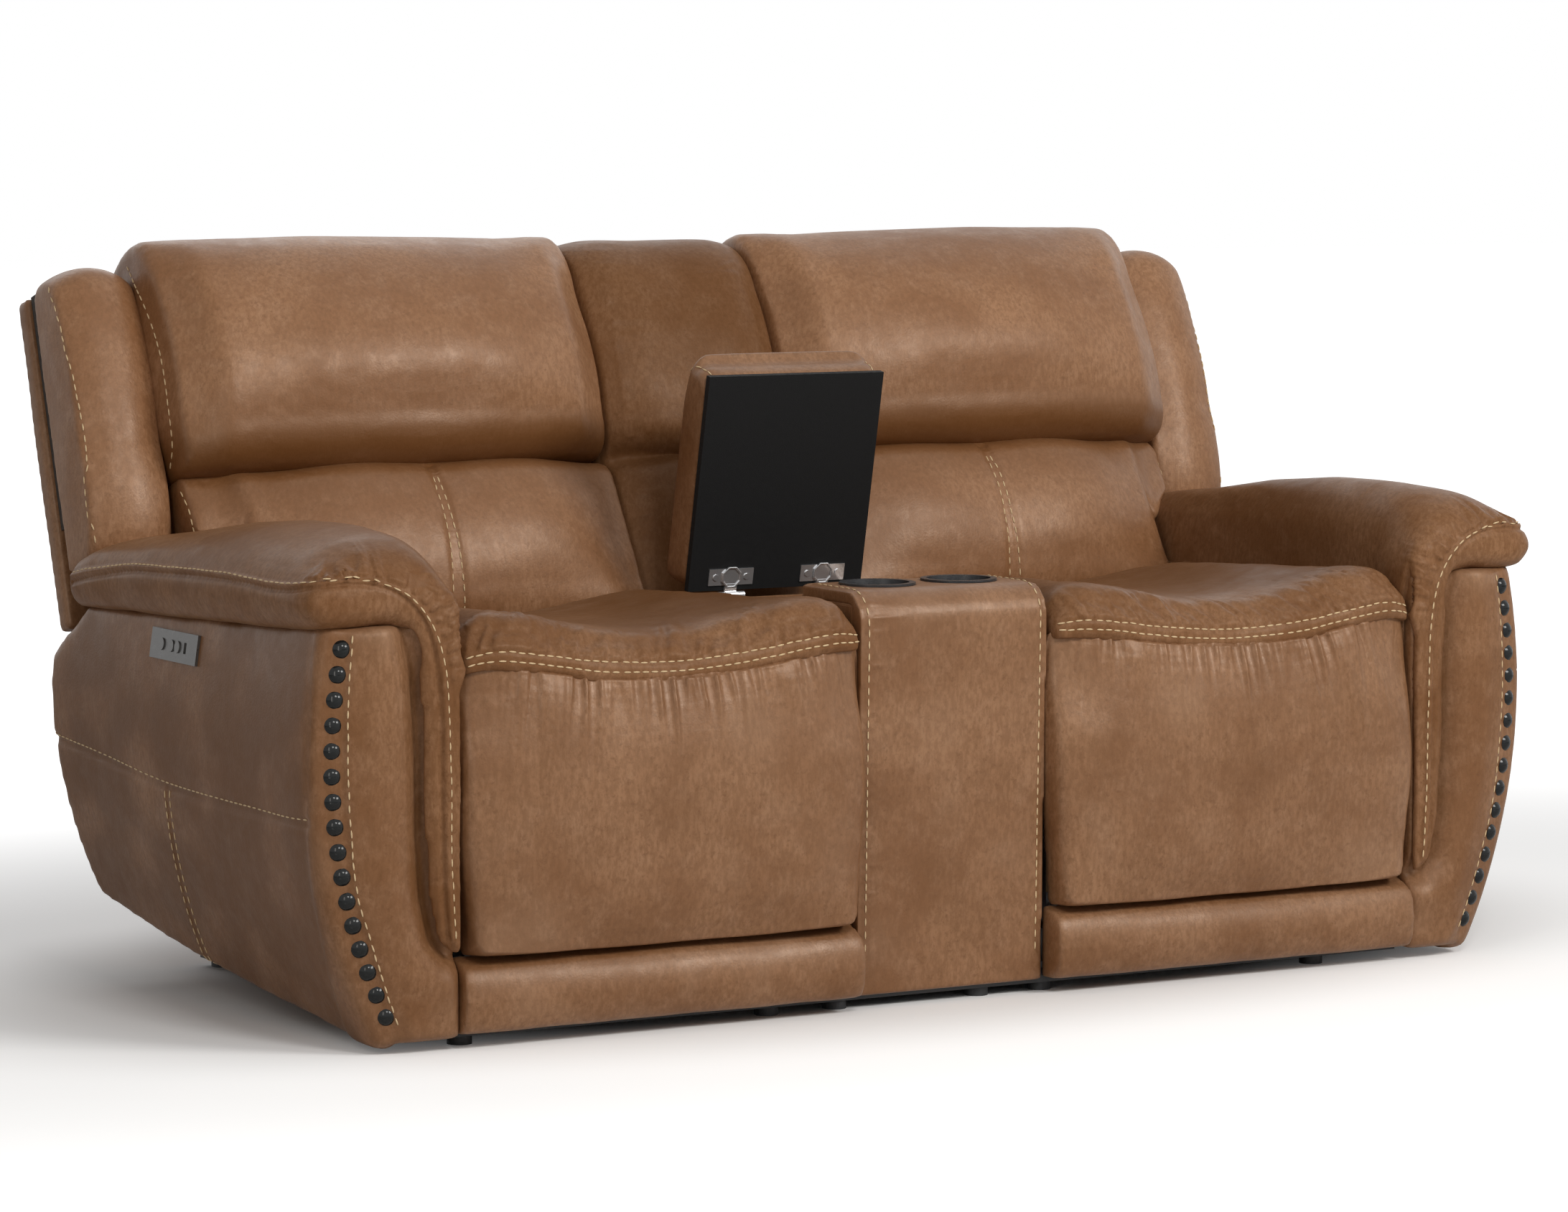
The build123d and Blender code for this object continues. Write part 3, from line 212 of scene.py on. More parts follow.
# Arms: a timber box wrapped in foam and tight leather. The outer side is pieced from three
# panels, and a nailed band runs down the front corner beside a padded front panel.
def leather(name, tone=1.0, gloss=0.50):
    """Waxed leather with cloudy patches and short brushed streaks; rubbed highs and rusty creases, which
    also carry painted highlight on proud folds and painted shade in hollows and darkened places.
    """
    made = bpy.data.materials.new(name)
    made.use_nodes = True
    tree = made.node_tree
    shader = tree.nodes["Principled BSDF"]
    shader.inputs["Specular IOR Level"].default_value = gloss
    shader.inputs["Specular Tint"].default_value = (1.0, 0.82, 0.68, 1.0)
    place = tree.nodes.new("ShaderNodeTexCoord")

    def cloud(scale, detail, rough, stretch=(1.0, 1.0, 1.0), swirl=0.0):
        turn = tree.nodes.new("ShaderNodeMapping")
        turn.inputs["Scale"].default_value = stretch
        tree.links.new(place.outputs["Object"], turn.inputs["Vector"])
        made_cloud = tree.nodes.new("ShaderNodeTexNoise")
        made_cloud.inputs["Scale"].default_value = scale
        made_cloud.inputs["Detail"].default_value = detail
        made_cloud.inputs["Roughness"].default_value = rough
        made_cloud.inputs["Distortion"].default_value = swirl
        tree.links.new(turn.outputs[0], made_cloud.inputs["Vector"])
        return made_cloud.outputs["Fac"]

    def spread(value, low, high, to_low, to_high):
        ramp = tree.nodes.new("ShaderNodeMapRange")
        ramp.interpolation_type = "SMOOTHSTEP"
        for key, number in zip(("From Min", "From Max", "To Min", "To Max"), (low, high, to_low, to_high)):
            ramp.inputs[key].default_value = number
        tree.links.new(value, ramp.inputs["Value"])
        return ramp.outputs[0]

    def mixed(share, first, second, blend="MIX"):
        mix = tree.nodes.new("ShaderNodeMix")
        mix.data_type = "RGBA"
        mix.blend_type = blend
        for socket, value in ((mix.inputs[0], share), (mix.inputs[6], first), (mix.inputs[7], second)):
            if isinstance(value, (tuple, float)):
                socket.default_value = (*value, 1.0) if isinstance(value, tuple) else value
            else:
                tree.links.new(value, socket)
        return mix.outputs[2]

    def toned(r, g, b):
        return (r * tone, g * tone, b * tone)

    patches = cloud(4.0, 4.0, 0.6, swirl=0.5)
    mottle = cloud(26.0, 6.0, 0.70, swirl=0.3)
    strokes = cloud(170.0, 4.0, 0.7, stretch=(1.0, 1.0, 0.4))
    flecks = cloud(120.0, 6.0, 0.75)
    deep_brown, saddle_brown = toned(0.182, 0.080, 0.032), toned(0.272, 0.138, 0.068)
    mottle_tan, fleck_brown = toned(0.322, 0.180, 0.102), toned(0.112, 0.044, 0.014)
    stroke_brown, crease_rust_and_shade = toned(0.148, 0.064, 0.024), toned(0.118, 0.045, 0.011)
    rubbed_tan_and_highlight = toned(0.34, 0.205, 0.125)
    colour = mixed(spread(patches, 0.34, 0.66, 0.0, 1.0), deep_brown, saddle_brown)
    colour = mixed(spread(mottle, 0.42, 0.72, 0.0, 0.42), colour, mottle_tan)
    colour = mixed(spread(flecks, 0.50, 0.70, 0.0, 0.62), colour, fleck_brown)
    colour = mixed(spread(strokes, 0.36, 0.62, 0.0, 0.54), colour, stroke_brown)
    worn_and_lit = tree.nodes.new("ShaderNodeAttribute")
    worn_and_lit.attribute_name = "wear_and_shading"
    # Hollow and darkened places turn rust-dark: real creasing, and painted shade.
    colour = mixed(spread(worn_and_lit.outputs["Fac"], 0.0, -0.5, 0.0, 0.75), colour, crease_rust_and_shade)
    # Proud places turn rubbed tan: real rubbing, and painted highlight on the folds.
    colour = mixed(spread(worn_and_lit.outputs["Fac"], 0.0, 0.5, 0.0, 0.45), colour, rubbed_tan_and_highlight)
    tree.links.new(colour, shader.inputs["Base Color"])
    tree.links.new(spread(mottle, 0.3, 0.75, 0.45, 0.34), shader.inputs["Roughness"])

    pebble = tree.nodes.new("ShaderNodeTexVoronoi")
    pebble.feature = "SMOOTH_F1"
    pebble.inputs["Scale"].default_value = 380.0
    tree.links.new(place.outputs["Object"], pebble.inputs["Vector"])
    grain = tree.nodes.new("ShaderNodeMath")
    grain.operation = "MULTIPLY_ADD"
    grain.inputs[1].default_value = 0.7
    tree.links.new(pebble.outputs["Distance"], grain.inputs[0])
    tree.links.new(strokes, grain.inputs[2])
    dent = tree.nodes.new("ShaderNodeBump")
    dent.inputs["Strength"].default_value = 0.16
    dent.inputs["Distance"].default_value = 0.0012
    tree.links.new(grain.outputs[0], dent.inputs["Height"])
    tree.links.new(dent.outputs[0], shader.inputs["Normal"])
    return made


brown_leather = leather("brown_leather")
# A lighter copy for the back's cushions and wings; its lightening is painted light on these upward-facing
# faces.
lit_pale_leather = leather("lit_pale_leather", tone=1.22)
# A darker copy with less gloss for the seats, arm pads and console back; its darkening is painted shade.
shaded_soft_leather = leather("shaded_soft_leather", tone=0.94, gloss=0.14)
arm_leather = leather("arm_leather", gloss=0.32)


def bake(piece):
    """Turn a piece's modifiers into its mesh."""
    shaped = bpy.data.meshes.new_from_object(piece.evaluated_get(bpy.context.evaluated_depsgraph_get()))
    piece.modifiers.clear()
    plain = piece.data
    piece.data = shaped
    shaped.name = piece.name
    bpy.data.meshes.remove(plain)


def wrapped(name, *solids, voxel=0.006):
    """One skin of leather drawn over the padded solids of a node."""
    bm = bmesh.new()
    for solid in solids:
        bm.from_mesh(nodes[solid].data)
    bmesh.ops.remove_doubles(bm, verts=bm.verts, dist=1e-5)
    mesh = bpy.data.meshes.new(name)
    bm.to_mesh(mesh)
    bm.free()
    piece = bpy.data.objects.new(name, mesh)
    scene.collection.objects.link(piece)
    skin = piece.modifiers.new("skin", "REMESH")
    skin.mode = "VOXEL"
    skin.voxel_size = voxel
    bake(piece)
    return piece


def points_of(piece):
    flat = np.empty(len(piece.data.vertices) * 3)
    piece.data.vertices.foreach_get("co", flat)
    return flat.reshape(-1, 3)


def normals_of(piece):
    flat = np.empty(len(piece.data.vertices) * 3)
    piece.data.vertices.foreach_get("normal", flat)
    return flat.reshape(-1, 3)


def set_points(piece, points):
    piece.data.vertices.foreach_set("co", np.ascontiguousarray(points).ravel())
    piece.data.update()


def relax(piece, rounds, factor=0.5, where=None):
    """Ease the skin over its padding, all of it or where stated, so that edges turn round."""
    bm = bmesh.new()
    bm.from_mesh(piece.data)
    eased_verts = [v for k, v in enumerate(bm.verts) if where is None or where[k]]
    for _ in range(rounds):
        bmesh.ops.smooth_vert(
            bm, verts=eased_verts, factor=factor, use_axis_x=True, use_axis_y=True, use_axis_z=True
        )
    bm.to_mesh(piece.data)
    bm.free()


def refine(piece):
    """Divide the skin once, for folds and seams finer than the first mesh."""
    finer = piece.modifiers.new("finer", "SUBSURF")
    finer.levels = 1
    finer.render_levels = 1
    bake(piece)


def step(value, low, high):
    """Smooth rise from 0 at low to 1 at high."""
    t = np.clip((value - low) / (high - low), 0.0, 1.0)
    return t * t * (3 - 2 * t)


def clouds(points, size, seed=0.0):
    """A slow random level at each point, between about -0.5 and 0.5."""
    return np.array([noise.noise(Vector(p) / size + Vector((seed, seed, seed))) for p in points])


def rumple(piece, size, depth, seed=0.0):
    """Slow unevenness of hand-laid padding."""
    at = points_of(piece)
    set_points(piece, at + normals_of(piece) * (clouds(at, size, seed) * depth)[:, None])


def run(corners, gap=0.003):
    """Even points on a smooth line through the corners of a seam."""
    ends = [Vector(c) for c in corners]
    ends = [ends[0] * 2 - ends[1], *ends, ends[-1] * 2 - ends[-2]]
    line = []
    for a, b, c, d in zip(ends, ends[1:], ends[2:], ends[3:]):
        count = max(2, int((c - b).length / (gap / 3)))
        for k in range(count):
            t = k / count
            bend = (a * 2 - b * 5 + c * 4 - d) * t * t
            turn = (b * 3 - a - c * 3 + d) * t ** 3
            line.append((b * 2 + (c - a) * t + bend + turn) / 2)
    line.append(ends[-2])
    even = [line[0]]
    for here in line[1:]:
        if (here - even[-1]).length >= gap:
            even.append(here)
    return even


def laid(piece, corners, gap=0.003):
    """A seam's line laid on the skin: points and the skin's own directions there."""
    skin = BVHTree.FromObject(piece, bpy.context.evaluated_depsgraph_get())
    return [skin.find_nearest(p)[:2] for p in run(corners, gap)]


def near(piece, line, reach):
    """For each point of the skin close to a line: its number, its distance, and its place along it."""
    tree = KDTree(len(line))
    for k, (p, _) in enumerate(line):
        tree.insert(p, k)
    tree.balance()
    at = points_of(piece)
    low = np.min([p for p, _ in line], axis=0) - reach
    high = np.max([p for p, _ in line], axis=0) + reach
    inside = np.nonzero(np.all((at > low) & (at < high), axis=1))[0]
    found = []
    for k in inside:
        _, place, distance = tree.find(at[k])
        if distance < reach:
            found.append((k, distance, place))
    return found


def seam(piece, corners, depth=0.002, width=0.005):
    """Draw the skin in along a sewn line, or raise it where the depth is less than nothing."""
    line = laid(piece, corners)
    at, out = points_of(piece), normals_of(piece)
    for k, distance, _ in near(piece, line, width * 2.6):
        at[k] -= out[k] * depth * exp(-((distance / width) ** 2))
    set_points(piece, at)


def gather(piece, corners, reach, depth, pitch, toward, seed=1.0, slant=0.0, ends=0.0):
    """Thin pulled folds that run away from a seam on one side of it and die out."""
    line = laid(piece, corners)
    at, out = points_of(piece), normals_of(piece)
    toward = Vector(toward)
    for k, distance, place in near(piece, line, reach * 2.2):
        away = Vector(at[k]) - line[place][0]
        if away.dot(toward) < 0:
            continue
        along = (line[min(place + 1, len(line) - 1)][0] - line[max(place - 1, 0)][0]).normalized()
        s = (place * 0.003 + away.dot(along) + slant * distance) / pitch
        lead = noise.noise(Vector((s * 0.31 + seed, 5.0, 0.0)))
        fold = noise.noise(Vector((s * 0.8 + seed * 7, distance * 1.2, seed)))
        length = reach * (0.22 + 2.0 * abs(lead))
        fade = min(1.0, distance / 0.004) * exp(-((distance / length) ** 2))
        if ends > 0.0:
            fade *= min(1.0, place * 0.003 / ends) * min(1.0, (len(line) - place) * 0.003 / ends)
        at[k] += out[k] * depth * fade * (exp(-((fold / 0.22) ** 2)) - 0.25)
    set_points(piece, at)


def outermost(along, value, pick, low, high, slices, ask):
    """The skin's outermost value in even slices along a direction, at the places asked for."""
    sides = np.linspace(low, high, slices + 1)
    spots, edge = [], []
    for a, b in zip(sides, sides[1:]):
        inside = value[(along >= a) & (along < b)]
        if len(inside):
            spots.append((a + b) / 2)
            edge.append(pick(inside))
    return np.interp(ask, spots, edge)


def eased(ask, places, values, ease):
    """A profile through stated values, with its corners eased over a stated length."""
    fine = np.linspace(places[0] - 2 * ease, places[-1] + 2 * ease, 400)
    weights = np.hanning(2 * int(ease / (fine[1] - fine[0])) + 3)
    drawn = np.pad(np.interp(fine, places, values), len(weights) // 2, mode="edge")
    return np.interp(ask, fine, np.convolve(drawn, weights / weights.sum(), mode="valid"))


def wear_and_shading(piece, reach=6, strength=60.0, dark=None):
    """Note where the skin is hollow or proud, for the rubbed and the dark places of the leather: real wear,
    with painted highlight on proud places, painted shade in hollows, and any stated darkening.
    """
    bm = bmesh.new()
    bm.from_mesh(piece.data)
    before = np.array([v.co for v in bm.verts])
    out = np.array([v.normal for v in bm.verts])
    for _ in range(reach):
        bmesh.ops.smooth_vert(
            bm, verts=bm.verts, factor=0.5, use_axis_x=True, use_axis_y=True, use_axis_z=True
        )
    after = np.array([v.co for v in bm.verts])
    bm.free()
    proud = np.einsum("ij,ij->i", before - after, out)
    level = np.clip(proud * strength - (0.0 if dark is None else dark(before)), -0.5, 0.5)
    note = piece.data.attributes.new("wear_and_shading", "FLOAT", "POINT")
    note.data.foreach_set("value", level)


def mirrored(piece, name):
    """The same piece for the other side of the loveseat."""
    mesh = piece.data.copy()
    mesh.name = name
    bm = bmesh.new()
    bm.from_mesh(mesh)
    bmesh.ops.scale(bm, vec=(-1.0, 1.0, 1.0), verts=bm.verts)
    bmesh.ops.reverse_faces(bm, faces=bm.faces)
    bm.to_mesh(mesh)
    bm.free()
    other = bpy.data.objects.new(name, mesh)
    scene.collection.objects.link(other)
    return other


def dress(piece, body, *solids, fill=None, cover=brown_leather):
    """Finish a leather piece, thin its mesh if it is heavy, and hand it to its body, in the
    place of its solids."""
    heavy_faces, kept_share = 60000, 0.5
    if len(piece.data.polygons) > heavy_faces:
        thinner = piece.modifiers.new("thinner", "DECIMATE")
        thinner.ratio = kept_share
        bake(piece)
    piece.data.materials.clear()
    piece.data.materials.append(cover)
    piece.data.polygons.foreach_set("use_smooth", [True] * len(piece.data.polygons))
    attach(piece, body)
    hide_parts(*solids)


thread = finish("cream_thread", (0.50, 0.34, 0.17), (0.80, 0.62, 0.38), 500, 0.6, 0.6)


def stitches(name, piece, rows, body, long=0.0108, pitch=0.0135, thick=0.0012):
    """Heavy saddle stitches along sewn rows on a skin, each one a short drawn-in thread."""
    bm = bmesh.new()
    for corners in rows:
        line = laid(piece, corners, gap=pitch / 4)
        for k in range(2, len(line) - 2, 4):
            (start, _), (middle, out), (end, _) = line[k - 2], line[k], line[k + 2]
            along = (end - start).normalized()
            across = out.cross(along).normalized()
            up = along.cross(across)
            turn = Matrix((along, across, up)).transposed().to_4x4()
            size = Matrix.Diagonal((long / 2, thick, thick * 0.8, 1.0))
            place = Matrix.Translation(middle + up * thick * 0.35)
            lying = place @ turn @ size @ Matrix.Rotation(pi / 2, 4, "Y")
            bmesh.ops.create_uvsphere(bm, u_segments=8, v_segments=5, radius=1.0, matrix=lying)
    mesh = bpy.data.meshes.new(name)
    bm.to_mesh(mesh)
    bm.free()
    mesh.polygons.foreach_set("use_smooth", [True] * len(mesh.polygons))
    mesh.materials.append(thread)
    sewn = bpy.data.objects.new(name, mesh)
    scene.collection.objects.link(sewn)
    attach(sewn, body)


def flipped(rows):
    """Sewn rows of the right side, for the left."""
    return [[(-x, y, z) for x, y, z in row] for row in rows]


arm = wrapped("right_arm_cover", "right_arm_shell", "right_arm_front")
relax(arm, 5)
at, out = points_of(arm), normals_of(arm)
band_z = (0.0, 0.08, 0.163, 0.258, 0.352, 0.443, 0.557)
band_y = (-0.402, -0.428, -0.449, -0.461, -0.474, -0.476, -0.462)
on_band = step(np.interp(at[:, 2], band_z, band_y) - at[:, 1], -0.004, 0.004) * step(at[:, 0], 0.80, 0.83)
barrel_x, barrel_z, barrel_radius = 0.170, 0.380, 0.785
edge_x = barrel_x + np.sqrt(barrel_radius**2 - (at[:, 2] - barrel_z) ** 2)
round_corner = np.arctan2(at[:, 0] - edge_x + 0.040, -0.458 - at[:, 1])
turned = step(round_corner, 0.50, 1.10) * step(at[:, 0], 0.80, 0.84)
wide = 0.0085 * on_band + 0.0050 * (1 - on_band) * step(at[:, 1], -0.26, -0.44)
set_points(arm, at + out * (turned * wide)[:, None])
crease_x = (0.760, 0.772, 0.791, 0.803, 0.808, 0.809, 0.815, 0.830)
crease_z = (0.124, 0.128, 0.148, 0.205, 0.290, 0.390, 0.493, 0.556)
at = points_of(arm)
aside = np.full(len(at), 1.0)
for x0, z0, x1, z1 in zip(crease_x, crease_z, crease_x[1:], crease_z[1:]):
    dx, dz = x1 - x0, z1 - z0
    share = np.clip(((at[:, 0] - x0) * dx + (at[:, 2] - z0) * dz) / (dx * dx + dz * dz), 0.0, 1.0)
    aside = np.minimum(aside, np.hypot(at[:, 0] - x0 - share * dx, at[:, 2] - z0 - share * dz))
facing = step(at[:, 1], -0.470, -0.488)
outside = step(at[:, 0] - np.interp(at[:, 2], crease_z, crease_x), 0.0, 0.012)
hollow = 0.018 * np.exp(-((aside / 0.015) ** 2))
edge_x = barrel_x + np.sqrt(barrel_radius**2 - (at[:, 2] - barrel_z) ** 2)
inside = step(edge_x - at[:, 0], 0.042, 0.078)
pillow = 0.008 * step(aside, 0.012, 0.045) * outside * inside * step(at[:, 2], 0.03, 0.10)
at[:, 1] += facing * (hollow - pillow)
set_points(arm, at)
relax(arm, 1)
rumple(arm, 0.16, 0.0016)
side_row = [
    (0.954, 0.372, 0.338), (0.953, 0.166, 0.323), (0.952, -0.016, 0.309),
    (0.951, -0.202, 0.306), (0.952, -0.353, 0.307), (0.952, -0.472, 0.311),
]
rear_rows = [
    [(0.951, -0.005, 0.299), (0.921, 0.002, 0.153), (0.901, 0.006, 0.094), (0.875, 0.008, 0.040)],
    [(0.951, -0.021, 0.301), (0.922, -0.015, 0.155), (0.902, -0.011, 0.096), (0.876, -0.011, 0.042)],
]
rear_join = [(x, (y + q) / 2, z) for (x, y, z), (_, q, _) in zip(*rear_rows)]
band_row = [
    (0.909, -0.506, 0.550), (0.915, -0.506, 0.484), (0.917, -0.506, 0.382), (0.914, -0.506, 0.300),
    (0.906, -0.506, 0.217), (0.888, -0.506, 0.154), (0.866, -0.506, 0.086), (0.846, -0.506, 0.030),
]
seam(arm, [(x, y, z - 0.006) for x, y, z in side_row], 0.003, 0.006)
seam(arm, rear_join, 0.002, 0.005)
seam(arm, [(x + 0.007, y, z) for x, y, z in band_row], 0.0018, 0.005)


def arm_side_shade_and_clouds(p):
    """Painted shade on the arm's outer side, behind the band, broken by dark clouds, with small dark clouds
    all over.
    """
    shaded_side = step(p[:, 1], -0.475, -0.445) * step(p[:, 0], 0.82, 0.86)
    return (0.34 + 0.55 * clouds(p, 0.11, 41.0)) * shaded_side + 0.25 * clouds(p, 0.06, 43.0)


wear_and_shading(arm, dark=arm_side_shade_and_clouds)
other_arm = mirrored(arm, "left_arm_cover")
arm_rows = [side_row, *rear_rows, band_row]
for side, cover, rows in (("right", arm, arm_rows), ("left", other_arm, flipped(arm_rows))):
    dress(cover, "base", f"{side}_arm_shell", f"{side}_arm_front", fill=0.9, cover=arm_leather)
    stitches(f"{side}_arm_stitches", cover, rows, "base")


# Arm pads: a soft top panel and a boxed outer panel over thick foam, joined by a welted seam
# that runs along the outer edge, over the front and down the inner edge as a waterfall strip.
def puff(piece, pressure, cap, seated=None, weave=0.012):
    """Stuff a sewn cover: a coarse copy swells under pressure, held where it is fixed to its
    frame, and the fine skin follows it outward, and inward by a third as much."""
    bag = piece.copy()
    bag.data = piece.data.copy()
    scene.collection.objects.link(bag)
    coarse = bag.modifiers.new("weave", "REMESH")
    coarse.mode = "VOXEL"
    coarse.voxel_size = weave
    bake(bag)
    flat, out = points_of(bag), normals_of(bag)
    stuffing = bag.modifiers.new("stuffing", "CLOTH")
    if seated is not None:
        held = bag.vertex_groups.new(name="held")
        held.add(np.nonzero(seated(flat))[0].tolist(), 1.0, "REPLACE")
        stuffing.settings.vertex_group_mass = "held"
    stuffing.settings.quality = 4
    stuffing.settings.use_pressure = True
    stuffing.settings.uniform_pressure_force = pressure
    stuffing.settings.effector_weights.gravity = 0.0
    for number in range(1, 19):
        scene.frame_set(number)
    bake(bag)
    scene.frame_set(1)
    swell = np.einsum("ij,ij->i", points_of(bag) - flat, out)
    swell = np.clip(np.where(swell > 0, swell, swell / 3), -cap / 3, cap)
    ends = np.empty(len(bag.data.edges) * 2, dtype=int)
    bag.data.edges.foreach_get("vertices", ends)
    first, second = ends[0::2], ends[1::2]
    count = np.bincount(ends, minlength=len(flat))
    for _ in range(12):
        pulled = np.bincount(first, swell[second], len(flat)) + np.bincount(second, swell[first], len(flat))
        swell = (swell + pulled / np.maximum(count, 1)) / 2
    bpy.data.objects.remove(bag)
    tree = KDTree(len(flat))
    for k, p in enumerate(flat):
        tree.insert(p, k)
    tree.balance()
    at, along = points_of(piece), normals_of(piece)
    for k, p in enumerate(at):
        close = tree.find_n(p, 4)
        shares = [1.0 / (distance + 0.002) for _, _, distance in close]
        pull = sum(swell[place] * share for (_, place, _), share in zip(close, shares)) / sum(shares)
        at[k] = p + along[k] * pull
    set_points(piece, at)


pad = wrapped("right_arm_pad_cover", "right_arm_pad", voxel=0.005)
relax(pad, 2)
at = points_of(pad)
at[:, 2] -= 0.016 * np.clip((-0.26 - at[:, 1]) / 0.25, 0.0, 1.0) ** 2 * step(at[:, 2], 0.56, 0.62)
set_points(pad, at)
relax(pad, 50, where=(at[:, 0] < 0.88) & (at[:, 1] < -0.34) & (at[:, 2] > 0.50))
puff(pad, 3.0, 0.007)
relax(pad, 2)
refine(pad)
at = points_of(pad)
inner = step(at[:, 0], 0.805, 0.770) * step(at[:, 2], 0.605, 0.560) * step(at[:, 1], -0.494, -0.474)
at[:, 2] -= 0.055 * inner
at[:, 0] -= 0.0025 * inner
corner = step(at[:, 0], 0.800, 0.776) * step(at[:, 2], 0.460, 0.500) * step(at[:, 2], 0.620, 0.560)
at[:, 0] -= 0.0100 * corner * step(at[:, 1], -0.40, -0.45)
set_points(pad, at)
welt_row = [
    (0.968, 0.262, 0.570), (0.972, 0.180, 0.584), (0.973, 0.060, 0.600), (0.974, -0.060, 0.606),
    (0.974, -0.180, 0.611), (0.974, -0.300, 0.613), (0.972, -0.390, 0.611), (0.968, -0.456, 0.614),
    (0.948, -0.494, 0.620), (0.908, -0.508, 0.622), (0.870, -0.511, 0.615), (0.838, -0.512, 0.600),
    (0.814, -0.512, 0.578), (0.796, -0.512, 0.550), (0.785, -0.512, 0.516), (0.779, -0.512, 0.472),
    (0.777, -0.512, 0.419), (0.776, -0.512, 0.345), (0.775, -0.512, 0.253), (0.772, -0.512, 0.183),
    (0.769, -0.512, 0.145),
]


def beside(row, offset):
    """The same row shifted on the skin: up on the pad's side, inward down the waterfall."""
    moved = []
    for x, y, z in row:
        turn = min(1.0, max(0.0, (0.93 - x) / 0.13))
        moved.append((x - offset * turn, y, z + offset * (1 - turn) + offset * 0.5 * turn * (1 - turn)))
    return moved


top_row = beside(welt_row, 0.0005)
seam(pad, beside(welt_row, -0.002), -0.0036, 0.0060)
seam(pad, beside(welt_row, 0.0070), 0.0016, 0.0035)
seam(pad, beside(welt_row, -0.0105), 0.0040, 0.0036)
inner_row = beside(welt_row, 0.008)
gather(pad, inner_row[7:16], 0.036, 0.0062, 0.013, (-1.0, 0.0, 0.3), seed=2.0, ends=0.03)
corner_row = [
    (0.792, -0.498, 0.592), (0.778, -0.500, 0.562), (0.766, -0.500, 0.526), (0.761, -0.500, 0.480),
    (0.759, -0.500, 0.430), (0.758, -0.500, 0.380),
]
gather(pad, corner_row, 0.050, 0.0056, 0.013, (-0.3, 1.0, 0.2), seed=2.2)
gather(pad, inner_row[14:20], 0.020, 0.0014, 0.017, (-1.0, 0.0, 0.3), seed=2.5, ends=0.03)
gather(pad, beside(welt_row, -0.012)[9:], 0.018, 0.0010, 0.020, (1.0, 0.0, -0.3), seed=5.0)
rumple(pad, 0.10, 0.0016, seed=3.0)
# The pad's top is darkened: painted shade.
wear_and_shading(pad, strength=45.0, dark=lambda p: 0.14 * step(p[:, 2], 0.58, 0.64))
other_pad = mirrored(pad, "left_arm_pad_cover")
pad_rows = [top_row]
for side, cover, rows in (("right", pad, pad_rows), ("left", other_pad, flipped(pad_rows))):
    dress(cover, "base", f"{side}_arm_pad", fill=0.7, cover=shaded_soft_leather)
    stitches(f"{side}_arm_pad_stitches", cover, rows, "base")


# Nails: large domed furniture nails with a black nickel finish, driven through the band one
# below the other; they keep their solids.
black_nickel = finish("black_nickel", (0.006, 0.007, 0.007), (0.012, 0.013, 0.013), 40, 0.14, 0.05)
nickel_gloss = 0.28
black_nickel.node_tree.nodes["Principled BSDF"].inputs["Specular IOR Level"].default_value = nickel_gloss
paint("arm_nails", black_nickel)


# Switch plates: pressed grey metal plates let into each arm, with three push buttons in the
# same finish and a charging port.
plate_grey = finish("plate_grey", (0.115, 0.112, 0.108), (0.150, 0.146, 0.142), 70, 0.30, 0.1, metal=0.55)
paint("switch_plates", plate_grey)
for side in ("right", "left"):
    for job in ("recline", "return", "home"):
        paint(f"{side}_{job}_button", plate_grey)


# Seat cushions: deep foam under one panel of leather, dished in the middle between two raised
# ends, and sewn to the front with a band between two rows of heavy stitches.
seat_middle = 0.452
lip_x = (0.149, 0.189, 0.239, 0.288, 0.361, 0.434, 0.505, 0.576, 0.647, 0.716, 0.751)
lip_z = (0.512, 0.514, 0.510, 0.502, 0.493, 0.489, 0.490, 0.496, 0.509, 0.516, 0.509)


def lip_row(drop, depth=-0.505, x0=0.153, x1=0.751, count=14):
    """A row across the front of the right seat, a stated drop under the upper stitches."""
    places = np.linspace(x0, x1, count)
    return [(float(x), depth, float(np.interp(x, lip_x, lip_z)) - drop) for x in places]


seat = wrapped("right_seat_cover", "right_seat_cushion")
at = points_of(seat)
split = np.interp(at[:, 0], lip_x, lip_z) - 0.017
at[:, 2] += (split - 0.012 - 0.481) * step(at[:, 2], 0.530, 0.483) * step(at[:, 1], -0.40, -0.47)
set_points(seat, at)
relax(seat, 3)
puff(seat, 4.0, 0.014, lambda p: (p[:, 2] < 0.384) | (p[:, 1] > 0.060))
relax(seat, 2)
refine(seat)
at = points_of(seat)
over = at[:, 2] - np.interp(at[:, 0], lip_x, lip_z) + 0.0165
front = (np.abs(at[:, 0] - seat_middle) < 0.2) & (at[:, 1] < -0.44)
lip_at = outermost(over[front], at[front, 1], np.min, -0.020, 0.060, 27, over)
lip_over = (-0.016, -0.008, 0.0, 0.004, 0.0165, 0.030)
lip_y = (-0.503, -0.512, -0.5155, -0.5165, -0.5155, -0.513)
lip_to = np.interp(over, lip_over, lip_y)
at[:, 1] += (lip_to - lip_at) * step(over, 0.045, 0.020) * step(at[:, 1], -0.468, -0.488)
set_points(seat, at)
upper = lip_row(0.0)
lower = lip_row(0.0108, depth=-0.511)
seam(seat, upper, 0.0018, 0.0040)
seam(seat, lower, 0.0014, 0.0040)
gather(seat, lip_row(-0.003), 0.055, 0.0056, 0.017, (0.0, 0.0, 1.0), seed=4.0, slant=0.5, ends=0.04)
